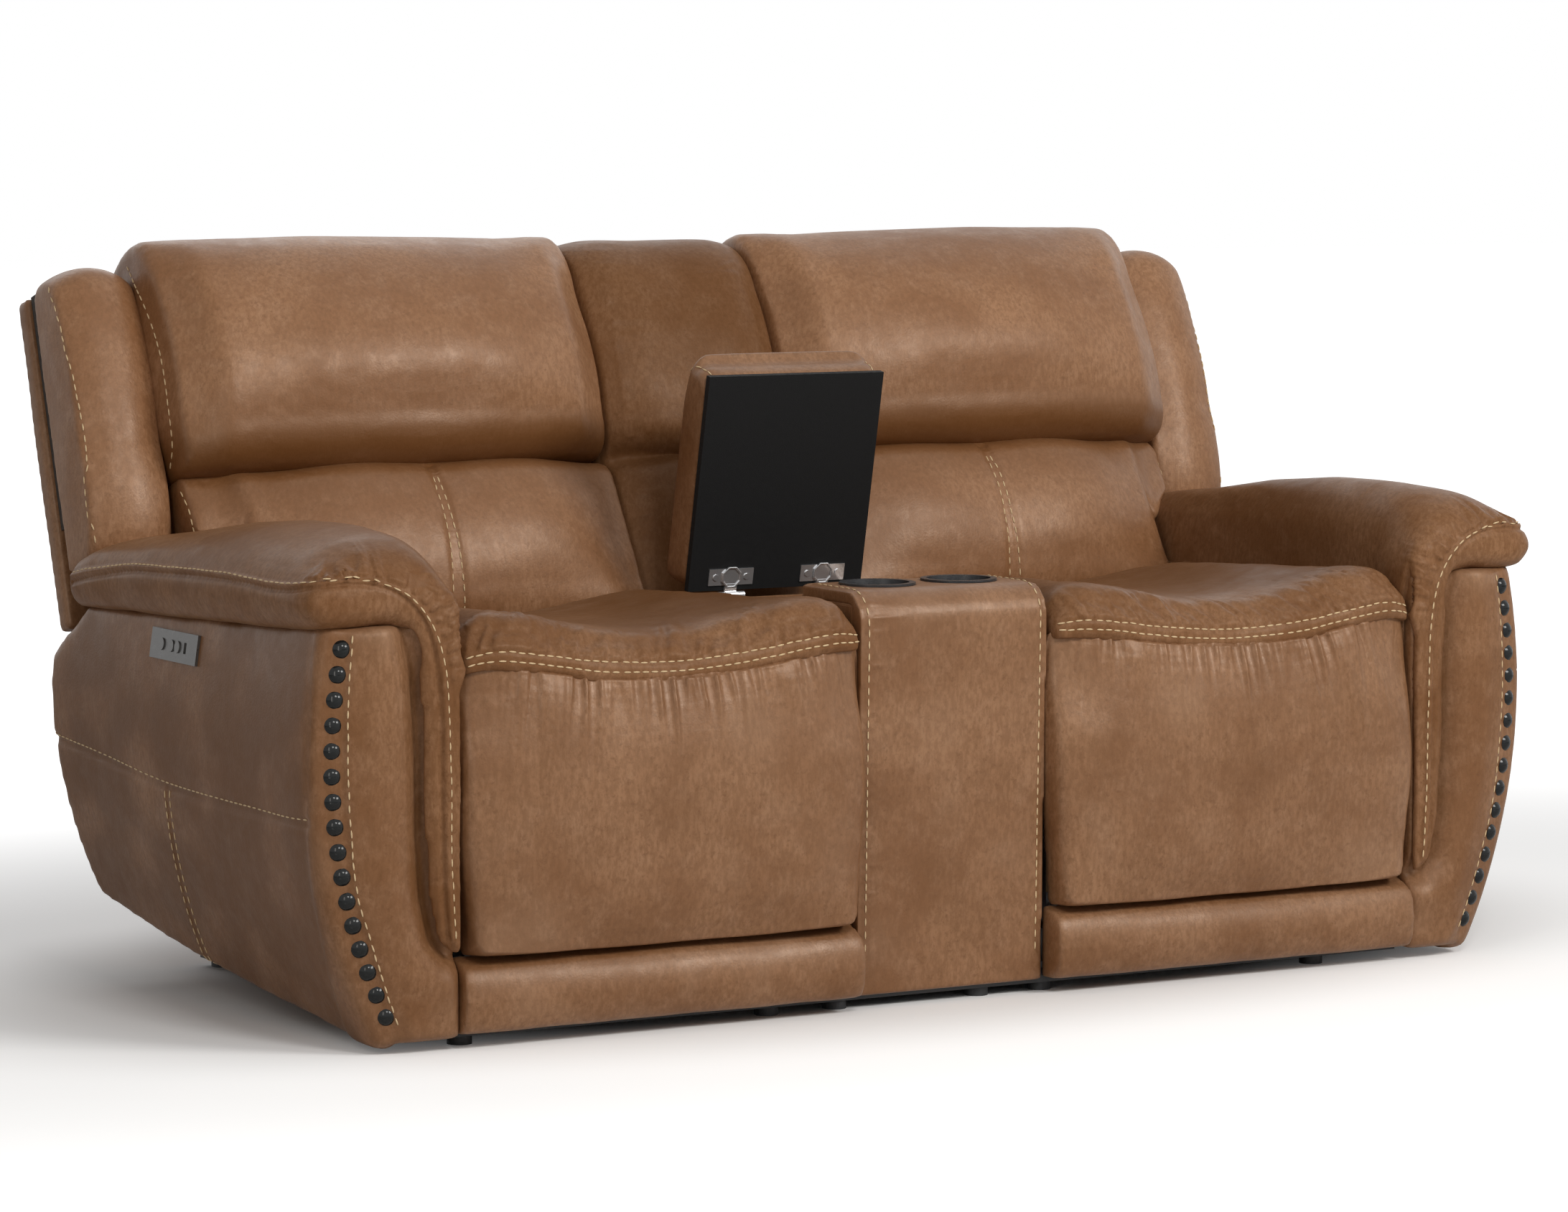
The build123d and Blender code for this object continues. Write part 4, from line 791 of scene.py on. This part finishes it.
gather(seat, lip_row(-0.012), 0.120, 0.0036, 0.040, (0.0, 0.0, 1.0), seed=5.0, slant=0.9, ends=0.04)
rumple(seat, 0.12, 0.0030, seed=6.0)
rumple(seat, 0.035, 0.0010, seed=8.0)
# The seat's top behind the front roll is darkened as painted shade, with random dark clouds as well.
wear_and_shading(seat, strength=42.0, dark=lambda p: 0.44 * step(p[:, 1], -0.48, -0.40) + 0.2 * clouds(p, 0.08, 45.0))
other_seat = mirrored(seat, "left_seat_cover")
seat_rows = [upper, lower]
for side, cover, rows in (("right", seat, seat_rows), ("left", other_seat, flipped(seat_rows))):
    dress(cover, "base", f"{side}_seat_cushion", fill=0.7, cover=shaded_soft_leather)
    stitches(f"{side}_seat_stitches", cover, rows, "base")


# Leg rests: a board with a padded front that hangs under the seat's band, its leather pulled
# into folds where it is sewn in at the top.
leg = wrapped("right_leg_cover", "right_leg_pad", voxel=0.005)
at = points_of(leg)
split = np.interp(at[:, 0], lip_x, lip_z) - 0.0165
at[:, 2] += (split - 0.478) * step(at[:, 2], 0.400, 0.474)
set_points(leg, at)
relax(leg, 2)
puff(leg, 4.0, 0.012, lambda p: p[:, 1] > -0.468)
relax(leg, 1)
refine(leg)
at = points_of(leg)
split = np.interp(at[:, 0], lip_x, lip_z) - 0.0122
top_at = outermost(at[:, 0], at[:, 2], np.max, 0.150, 0.755, 60, at[:, 0])
foot_at = outermost(at[:, 0], at[:, 2], np.min, 0.150, 0.755, 60, at[:, 0])
foot_z = 0.1198
lowered = np.clip(foot_z - foot_at, -0.007, 0.007)
at[:, 2] += (split - top_at) * step(at[:, 2], 0.400, 0.462) + lowered * step(at[:, 2], 0.200, 0.130)
outer_side, inner_side = 0.7545, 0.1495
taper = 0.012 * step(at[:, 2], 0.300, 0.125)
out_at = outermost(at[:, 2], at[:, 0], np.max, 0.120, 0.500, 24, at[:, 2])
in_at = outermost(at[:, 2], at[:, 0], np.min, 0.120, 0.500, 24, at[:, 2])
at[:, 0] += (outer_side - taper - out_at) * step(at[:, 0], 0.600, 0.745)
at[:, 0] += (inner_side + taper - in_at) * step(at[:, 0], 0.300, 0.158)
under = split - at[:, 2]
face = (np.abs(at[:, 0] - seat_middle) < 0.2) & (at[:, 1] < -0.48)
face_at = outermost(under[face], at[face, 1], np.min, -0.003, 0.381, 32, under)
face_under = (0.0, 0.010, 0.030, 0.050, 0.075, 0.100, 0.140, 0.190, 0.260, 0.320, 0.352, 0.375)
face_y = (
    -0.5160, -0.5195, -0.5250, -0.5292, -0.5335, -0.5365,
    -0.5390, -0.5385, -0.5345, -0.5295, -0.5265, -0.5235,
)
face_to = eased(under, face_under, face_y, 0.016)
bow = 0.016 * (np.abs(at[:, 0] - seat_middle) / 0.30) ** 4 * step(under, 0.25, 0.0)
at[:, 1] += (face_to - face_at + bow) * step(at[:, 1], -0.480, -0.498)
set_points(leg, at)
gather(leg, lip_row(0.016, depth=-0.520), 0.085, 0.0078, 0.017, (0.0, 0.0, -1.0), seed=9.0, ends=0.12)
rumple(leg, 0.15, 0.0030, seed=11.0)
wear_and_shading(leg, strength=60.0, dark=lambda p: 0.34 * clouds(p, 0.10, 47.0))
other_leg = mirrored(leg, "left_leg_cover")
for side, cover in (("right", leg), ("left", other_leg)):
    dress(cover, f"{side}_legrest", f"{side}_leg_pad", fill=0.7)


# Toe rails: padded rolls wrapped in leather and stapled to the front of the base, one under
# each leg rest. Skirts of leather on board close the rear in the same way.
toe = wrapped("toe_rolls", "toe_rails", voxel=0.005)
relax(toe, 3)
puff(toe, 3.0, 0.007, lambda p: p[:, 1] > -0.467)
relax(toe, 1)
at = points_of(toe)
roll_top, roll_middle, roll_half_height, roll_half_width = 0.1192, 0.064, 0.056, 0.3025
at[:, 2] += (roll_top - at[:, 2].max()) * step(at[:, 2], 0.060, 0.112)
middle = np.sign(at[:, 0]) * seat_middle
half = np.abs(at[:, 0] - middle).max()
at[:, 0] = middle + (at[:, 0] - middle) * roll_half_width / half
round_face = np.clip(1 - np.abs((at[:, 2] - roll_middle) / roll_half_height) ** 5, 0.0, 1.0) ** 0.2
at[:, 1] -= (0.026 * round_face - 0.003) * step(at[:, 1], -0.474, -0.486)
set_points(toe, at)
rumple(toe, 0.08, 0.0012, seed=13.0)
wear_and_shading(toe, dark=lambda p: 0.3 * clouds(p, 0.07, 49.0))
dress(toe, "base", "toe_rails", fill=0.8)
skirt = wrapped("rear_skirt_covers", "rear_skirts", voxel=0.004)
relax(skirt, 2)
wear_and_shading(skirt)
dress(skirt, "base", "rear_skirts", fill=0.95)


# Backs: a timber frame in a leather shell, with a lower cushion that holds the small of the
# back, a head cushion rolled over it, and a wing beside it that meets the arm.
lean = radians(17.5)
pivot_y, pivot_z = 0.240, 0.300


def on_back(x, u, v):
    """A point given up the lean and forward of it, from the recline pivot."""
    return (x, pivot_y + u * sin(lean) - v * cos(lean), pivot_z + u * cos(lean) + v * sin(lean))


def up_back(points):
    """Height up the lean, and depth forward of it, of the skin's points."""
    y, z = points[:, 1] - pivot_y, points[:, 2] - pivot_z
    return y * sin(lean) + z * cos(lean), z * sin(lean) - y * cos(lean)


def shifted(points, up, forward):
    """The points moved up the lean and forward of it."""
    moved = points.copy()
    moved[:, 1] += up * sin(lean) - forward * cos(lean)
    moved[:, 2] += up * cos(lean) + forward * sin(lean)
    return moved


low = wrapped("right_back_cover", "right_back_cushion")
at = points_of(low)
u = up_back(at)[0]
down = (0.050 + 0.055 * step(at[:, 0], 0.800, 0.757)) * step(at[:, 0], 0.746, 0.757) * step(u, 0.374, 0.336)
filled = 0.016 * step(u, 0.30, 0.365) * (0.5 + 0.5 * step(at[:, 0], 0.66, 0.78))
set_points(low, shifted(at, filled - down, 0.0))
relax(low, 4)
puff(low, 4.0, 0.014, lambda p: (up_back(p)[1] < 0.004) | (p[:, 0] > 0.738))
relax(low, 2)
refine(low)
at = points_of(low)
u, v = up_back(at)
relax(low, 40, where=(at[:, 0] > 0.70) & (u > 0.18) & (u < 0.36) & (v > 0.05))
at = points_of(low)
u, v = up_back(at)
set_back = 0.026 * step(at[:, 0], 0.730, 0.818) * step(v, 0.05, 0.14) * step(u, 0.24, 0.30)
set_points(low, shifted(at, 0.0, -set_back))
middle_front = ((0.120, 0.205), (0.16, 0.215), (0.20, 0.22), (0.26, 0.215), (0.32, 0.195), (0.36, 0.170))
middle_rows = [[on_back(x, u, v) for u, v in middle_front] for x in (seat_middle, 0.468)]
seam(low, [on_back(0.460, u, v) for u, v in middle_front], 0.0030, 0.010)
for row in middle_rows:
    seam(low, row, 0.0020, 0.0045)
rumple(low, 0.14, 0.0030, seed=15.0)
console_clear_x = 0.1515
at = points_of(low)
at[:, 0] = np.maximum(at[:, 0], console_clear_x)
set_points(low, at)
# The top of the lower cushion, under the head roll, is darkened: painted shade.
wear_and_shading(low, strength=40.0, dark=lambda p: 0.30 * step(up_back(p)[0], 0.26, 0.36))
other_low = mirrored(low, "left_back_cover")

head = wrapped("right_head_cover", "right_head_cushion")
relax(head, 3)
puff(head, 4.0, 0.016, lambda p: (up_back(p)[1] < 0.004) & (up_back(p)[0] < 0.69))
relax(head, 2)
refine(head)
at = points_of(head)
u, v = up_back(at)
head_middle, head_half_width = 0.4835, 0.3315
across = np.abs(at[:, 0] - head_middle) / head_half_width
top_at = outermost(at[:, 0], u, np.max, 0.150, 0.817, 60, at[:, 0])
top_to = 0.738 + 0.005 * (1 - across**2) - 0.005 * step(across, 0.95, 1.0)
rolled = 0.026 * step(across, 0.80, 1.02) * step(v, 0.05, 0.16)
set_points(head, shifted(at, (top_to - top_at) * step(u, 0.58, 0.70), -rolled))
rumple(head, 0.16, 0.0040, seed=17.0)
# The lower part of the head cushion, where it rolls under, is darkened: painted shade.
wear_and_shading(head, strength=40.0, dark=lambda p: 0.50 * step(up_back(p)[0], 0.475, 0.405))
other_head = mirrored(head, "left_head_cover")

wing = wrapped("right_wing_cover", "right_wing", voxel=0.005)
at = points_of(wing)
u, v = up_back(at)
set_points(wing, shifted(at, -0.060 * step(u, 0.470, 0.336), 0.016 * step(v, 0.0, 0.06)))
relax(wing, 3)
puff(wing, 3.0, 0.009, lambda p: up_back(p)[1] < 0.0)
relax(wing, 2)
refine(wing)
rumple(wing, 0.11, 0.0024, seed=19.0)
wear_and_shading(wing, strength=45.0)
other_wing = mirrored(wing, "left_wing_cover")

shell = wrapped("right_shell_cover", "right_back_shell")
relax(shell, 3)
rumple(shell, 0.18, 0.0022, seed=21.0)
wear_and_shading(shell)
other_shell = mirrored(shell, "left_shell_cover")

back_covers = {"right": (low, head, wing, shell), "left": (other_low, other_head, other_wing, other_shell)}
for side, covers in back_covers.items():
    solids = ("back_cushion", "head_cushion", "wing", "back_shell")
    for piece, solid, fill in zip(covers, solids, (0.7, 0.65, 0.75, 0.95)):
        hide = brown_leather if solid == "back_shell" else lit_pale_leather
        dress(piece, f"{side}_back", f"{side}_{solid}", fill=fill, cover=hide)
head_side = ((0.395, 0.095), (0.44, 0.122), (0.55, 0.122), (0.64, 0.092), (0.715, 0.035))
low_side = ((0.280, 0.125), (0.312, 0.130), (0.340, 0.125), (0.372, 0.105))
wing_front = ((0.30, 0.080), (0.36, 0.085), (0.45, 0.090), (0.55, 0.082), (0.64, 0.066), (0.69, 0.040))
head_edge = [on_back(0.832, u, v) for u, v in head_side]
low_edge = [on_back(0.822, u, v) for u, v in low_side]
wing_edge = [on_back(0.935, u, v) for u, v in wing_front]
sewn_rows = ([*middle_rows, low_edge], [head_edge], [wing_edge])
for side, covers in back_covers.items():
    for cover, rows, panel in zip(covers, sewn_rows, ("back", "head", "wing")):
        side_rows = rows if side == "right" else flipped(rows)
        stitches(f"{side}_{panel}_stitches", cover, side_rows, f"{side}_back")


# Console: a timber box between the seats with a leather cover rolled over its front and top,
# leather-wrapped cheeks and bin edges along its sides, a soft back cushion in line with the
# seat backs, a lined bin and two moulded cup holders.
black_plastic = finish("black_plastic", (0.012, 0.012, 0.013), (0.022, 0.022, 0.024), 140, 0.34, 0.3)
paint("console_box", brown_leather)
paint("cup_holders", black_plastic)
paint("console_bin", brown_leather)

cover = wrapped("console_front_cover", "console_cover", voxel=0.004)
relax(cover, 2)
refine(cover)
edge_rows = []
for x in (-0.136, 0.136):
    edge_rows.append(
        [(x, -0.480, 0.060), (x, -0.484, 0.200), (x, -0.488, 0.350), (x, -0.491, 0.470), (x, -0.490, 0.520)]
        + [(x, -0.478, 0.551), (x, -0.446, 0.568), (x, -0.400, 0.568), (x, -0.345, 0.568)]
    )
for row in edge_rows:
    seam(cover, [(x * 1.045, y, z) for x, y, z in row], 0.0016, 0.0040)
pulled = [(x + 0.004, y, z) for x, y, z in edge_rows[0]]
gather(cover, pulled, 0.026, 0.0016, 0.015, (1.0, 0.0, 0.0), seed=31.0)
wear_and_shading(cover, dark=lambda p: 0.3 * clouds(p, 0.09, 51.0))
dress(cover, "base", "console_cover", fill=0.85)
stitches("console_stitches", cover, edge_rows, "base")

bm = bmesh.new()
edge_size = Matrix.Diagonal((0.021, 0.300, 0.026, 1.0))
cheek_size = Matrix.Diagonal((0.020, 0.150, 0.156, 1.0))
for x in (-0.1375, 0.1375):
    bmesh.ops.create_cube(bm, size=1.0, matrix=Matrix.Translation((x, -0.172, 0.5104)) @ edge_size)
    bmesh.ops.create_cube(bm, size=1.0, matrix=Matrix.Translation((x, -0.400, 0.474)) @ cheek_size)
bmesh.ops.bevel(bm, geom=bm.edges[:], offset=0.005, segments=4, profile=0.5, affect="EDGES", material=-1)
edge_mesh = bpy.data.meshes.new("bin_edges")
bm.to_mesh(edge_mesh)
bm.free()
edges = bpy.data.objects.new("bin_edges", edge_mesh)
scene.collection.objects.link(edges)
edges.data.materials.append(brown_leather)
edges.data.polygons.foreach_set("use_smooth", [True] * len(edges.data.polygons))
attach(edges, "base")
edge_sewn = [[(x, -0.318, 0.524), (x, -0.172, 0.524), (x, -0.026, 0.524)] for x in (-0.141, 0.141)]
stitches("bin_edge_stitches", edges, edge_sewn, "base")

rest = wrapped("console_back_cover", "console_back", voxel=0.006)
relax(rest, 3)
puff(rest, 3.0, 0.010)
relax(rest, 1)
refine(rest)
for side in (-1.0, 1.0):
    pulled = [on_back(side * 0.132, u, 0.17) for u in (0.20, 0.30, 0.40, 0.50, 0.60, 0.68)]
    gather(rest, pulled, 0.050, 0.0013, 0.024, (-side, 0.0, 0.0), seed=33.0 + side)
rumple(rest, 0.10, 0.0030, seed=23.0)
# The whole console back is darkened evenly: painted shade between the seat backs.
wear_and_shading(rest, strength=40.0, dark=lambda p: np.full(len(p), 0.24))
dress(rest, "base", "console_back", fill=0.6, cover=shaded_soft_leather)


# Console lid: a padded leather lid on a black board, standing open on two sprung cup hinges
# of bright chrome.
opened = radians(78)
hinge_y, hinge_z = -0.002, 0.522


def on_lid(x, along, thick):
    """A point given up the open lid from its hinge, and back from its board."""
    y = hinge_y - along * cos(opened) + thick * sin(opened)
    return (x, y, hinge_z + along * sin(opened) + thick * cos(opened))


lid = wrapped("lid_cover", "lid_pad", voxel=0.004)
at = points_of(lid)
ahead, above = hinge_y - at[:, 1], at[:, 2] - hinge_z
along, thick = ahead * cos(opened) + above * sin(opened), above * cos(opened) - ahead * sin(opened)
crown = 0.024 * step(thick, 0.012, 0.040) * (1 - 0.5 * (at[:, 0] / 0.15) ** 2) * step(along, 0.345, 0.26)
rim = step(along, 0.285, 0.325)
at = at + crown[:, None] * np.array((0.0, sin(opened), cos(opened)))
at = at - (0.006 * rim * step(thick, 0.020, 0.006))[:, None] * np.array((0.0, sin(opened), cos(opened)))
at = at + (0.026 * rim * step(thick, 0.044, 0.062))[:, None] * np.array((0.0, -cos(opened), sin(opened)))
set_points(lid, at)
relax(lid, 4)
refine(lid)
wear_and_shading(lid)
dress(lid, "lid", "lid_pad", fill=0.8)
lid_corner = ((0.330, 0.010), (0.330, 0.026), (0.324, 0.048), (0.310, 0.064))
lid_rows = [[on_lid(x, along, thick) for along, thick in lid_corner] for x in (-0.138, 0.138)]
stitches("lid_stitches", lid, lid_rows, "lid")
board_black = finish("board_black", (0.0095, 0.0095, 0.0098), (0.0125, 0.0125, 0.0128), 160, 0.62, 0.3)
board_gloss = 0.12
board_black.node_tree.nodes["Principled BSDF"].inputs["Specular IOR Level"].default_value = board_gloss
chrome = finish("chrome", (0.66, 0.66, 0.67), (0.78, 0.78, 0.79), 25, 0.16, 0.05, metal=0.8)
paint("lid_board", board_black)
paint("lid_hinge_leaves", chrome)
paint("lid_hinge_brackets", chrome)
cup_radius, cup_depth, cup_wall, well_depth = 0.0165, 0.0034, 0.0028, 0.0024
bm = bmesh.new()
for x in (-0.075, 0.075):
    cup_at = Matrix.Translation((x, -0.028, 0.5242)) @ Matrix.Rotation(pi / 8, 4, "Z")
    ring = bmesh.ops.create_circle(bm, cap_ends=True, segments=8, radius=cup_radius, matrix=cup_at)
    base = ring["verts"][0].link_faces[0]
    rim = bmesh.ops.extrude_face_region(bm, geom=[base])["geom"]
    rim_verts = [v for v in rim if isinstance(v, bmesh.types.BMVert)]
    bmesh.ops.translate(bm, vec=(0.0, 0.0, -cup_depth), verts=rim_verts)
    lip = [f for f in rim if isinstance(f, bmesh.types.BMFace)]
    bmesh.ops.inset_region(bm, faces=lip, thickness=cup_wall, depth=0.0)
    well = bmesh.ops.extrude_face_region(bm, geom=lip)["geom"]
    well_verts = [v for v in well if isinstance(v, bmesh.types.BMVert)]
    bmesh.ops.translate(bm, vec=(0.0, 0.0, well_depth), verts=well_verts)
    bmesh.ops.delete(bm, geom=lip, context="FACES")
bmesh.ops.recalc_face_normals(bm, faces=bm.faces[:])
bmesh.ops.bevel(bm, geom=bm.edges[:], offset=0.0008, segments=2, profile=0.5, affect="EDGES", material=-1)
pin = Vector((0.0, hinge_y, hinge_z))
bmesh.ops.rotate(bm, verts=bm.verts[:], cent=pin, matrix=Matrix.Rotation(-opened, 3, "X"))
cup_mesh = bpy.data.meshes.new("hinge_cups")
bm.to_mesh(cup_mesh)
bm.free()
hinge_cups = bpy.data.objects.new("hinge_cups", cup_mesh)
scene.collection.objects.link(hinge_cups)
cup_mesh.materials.append(chrome)
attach(hinge_cups, "lid")
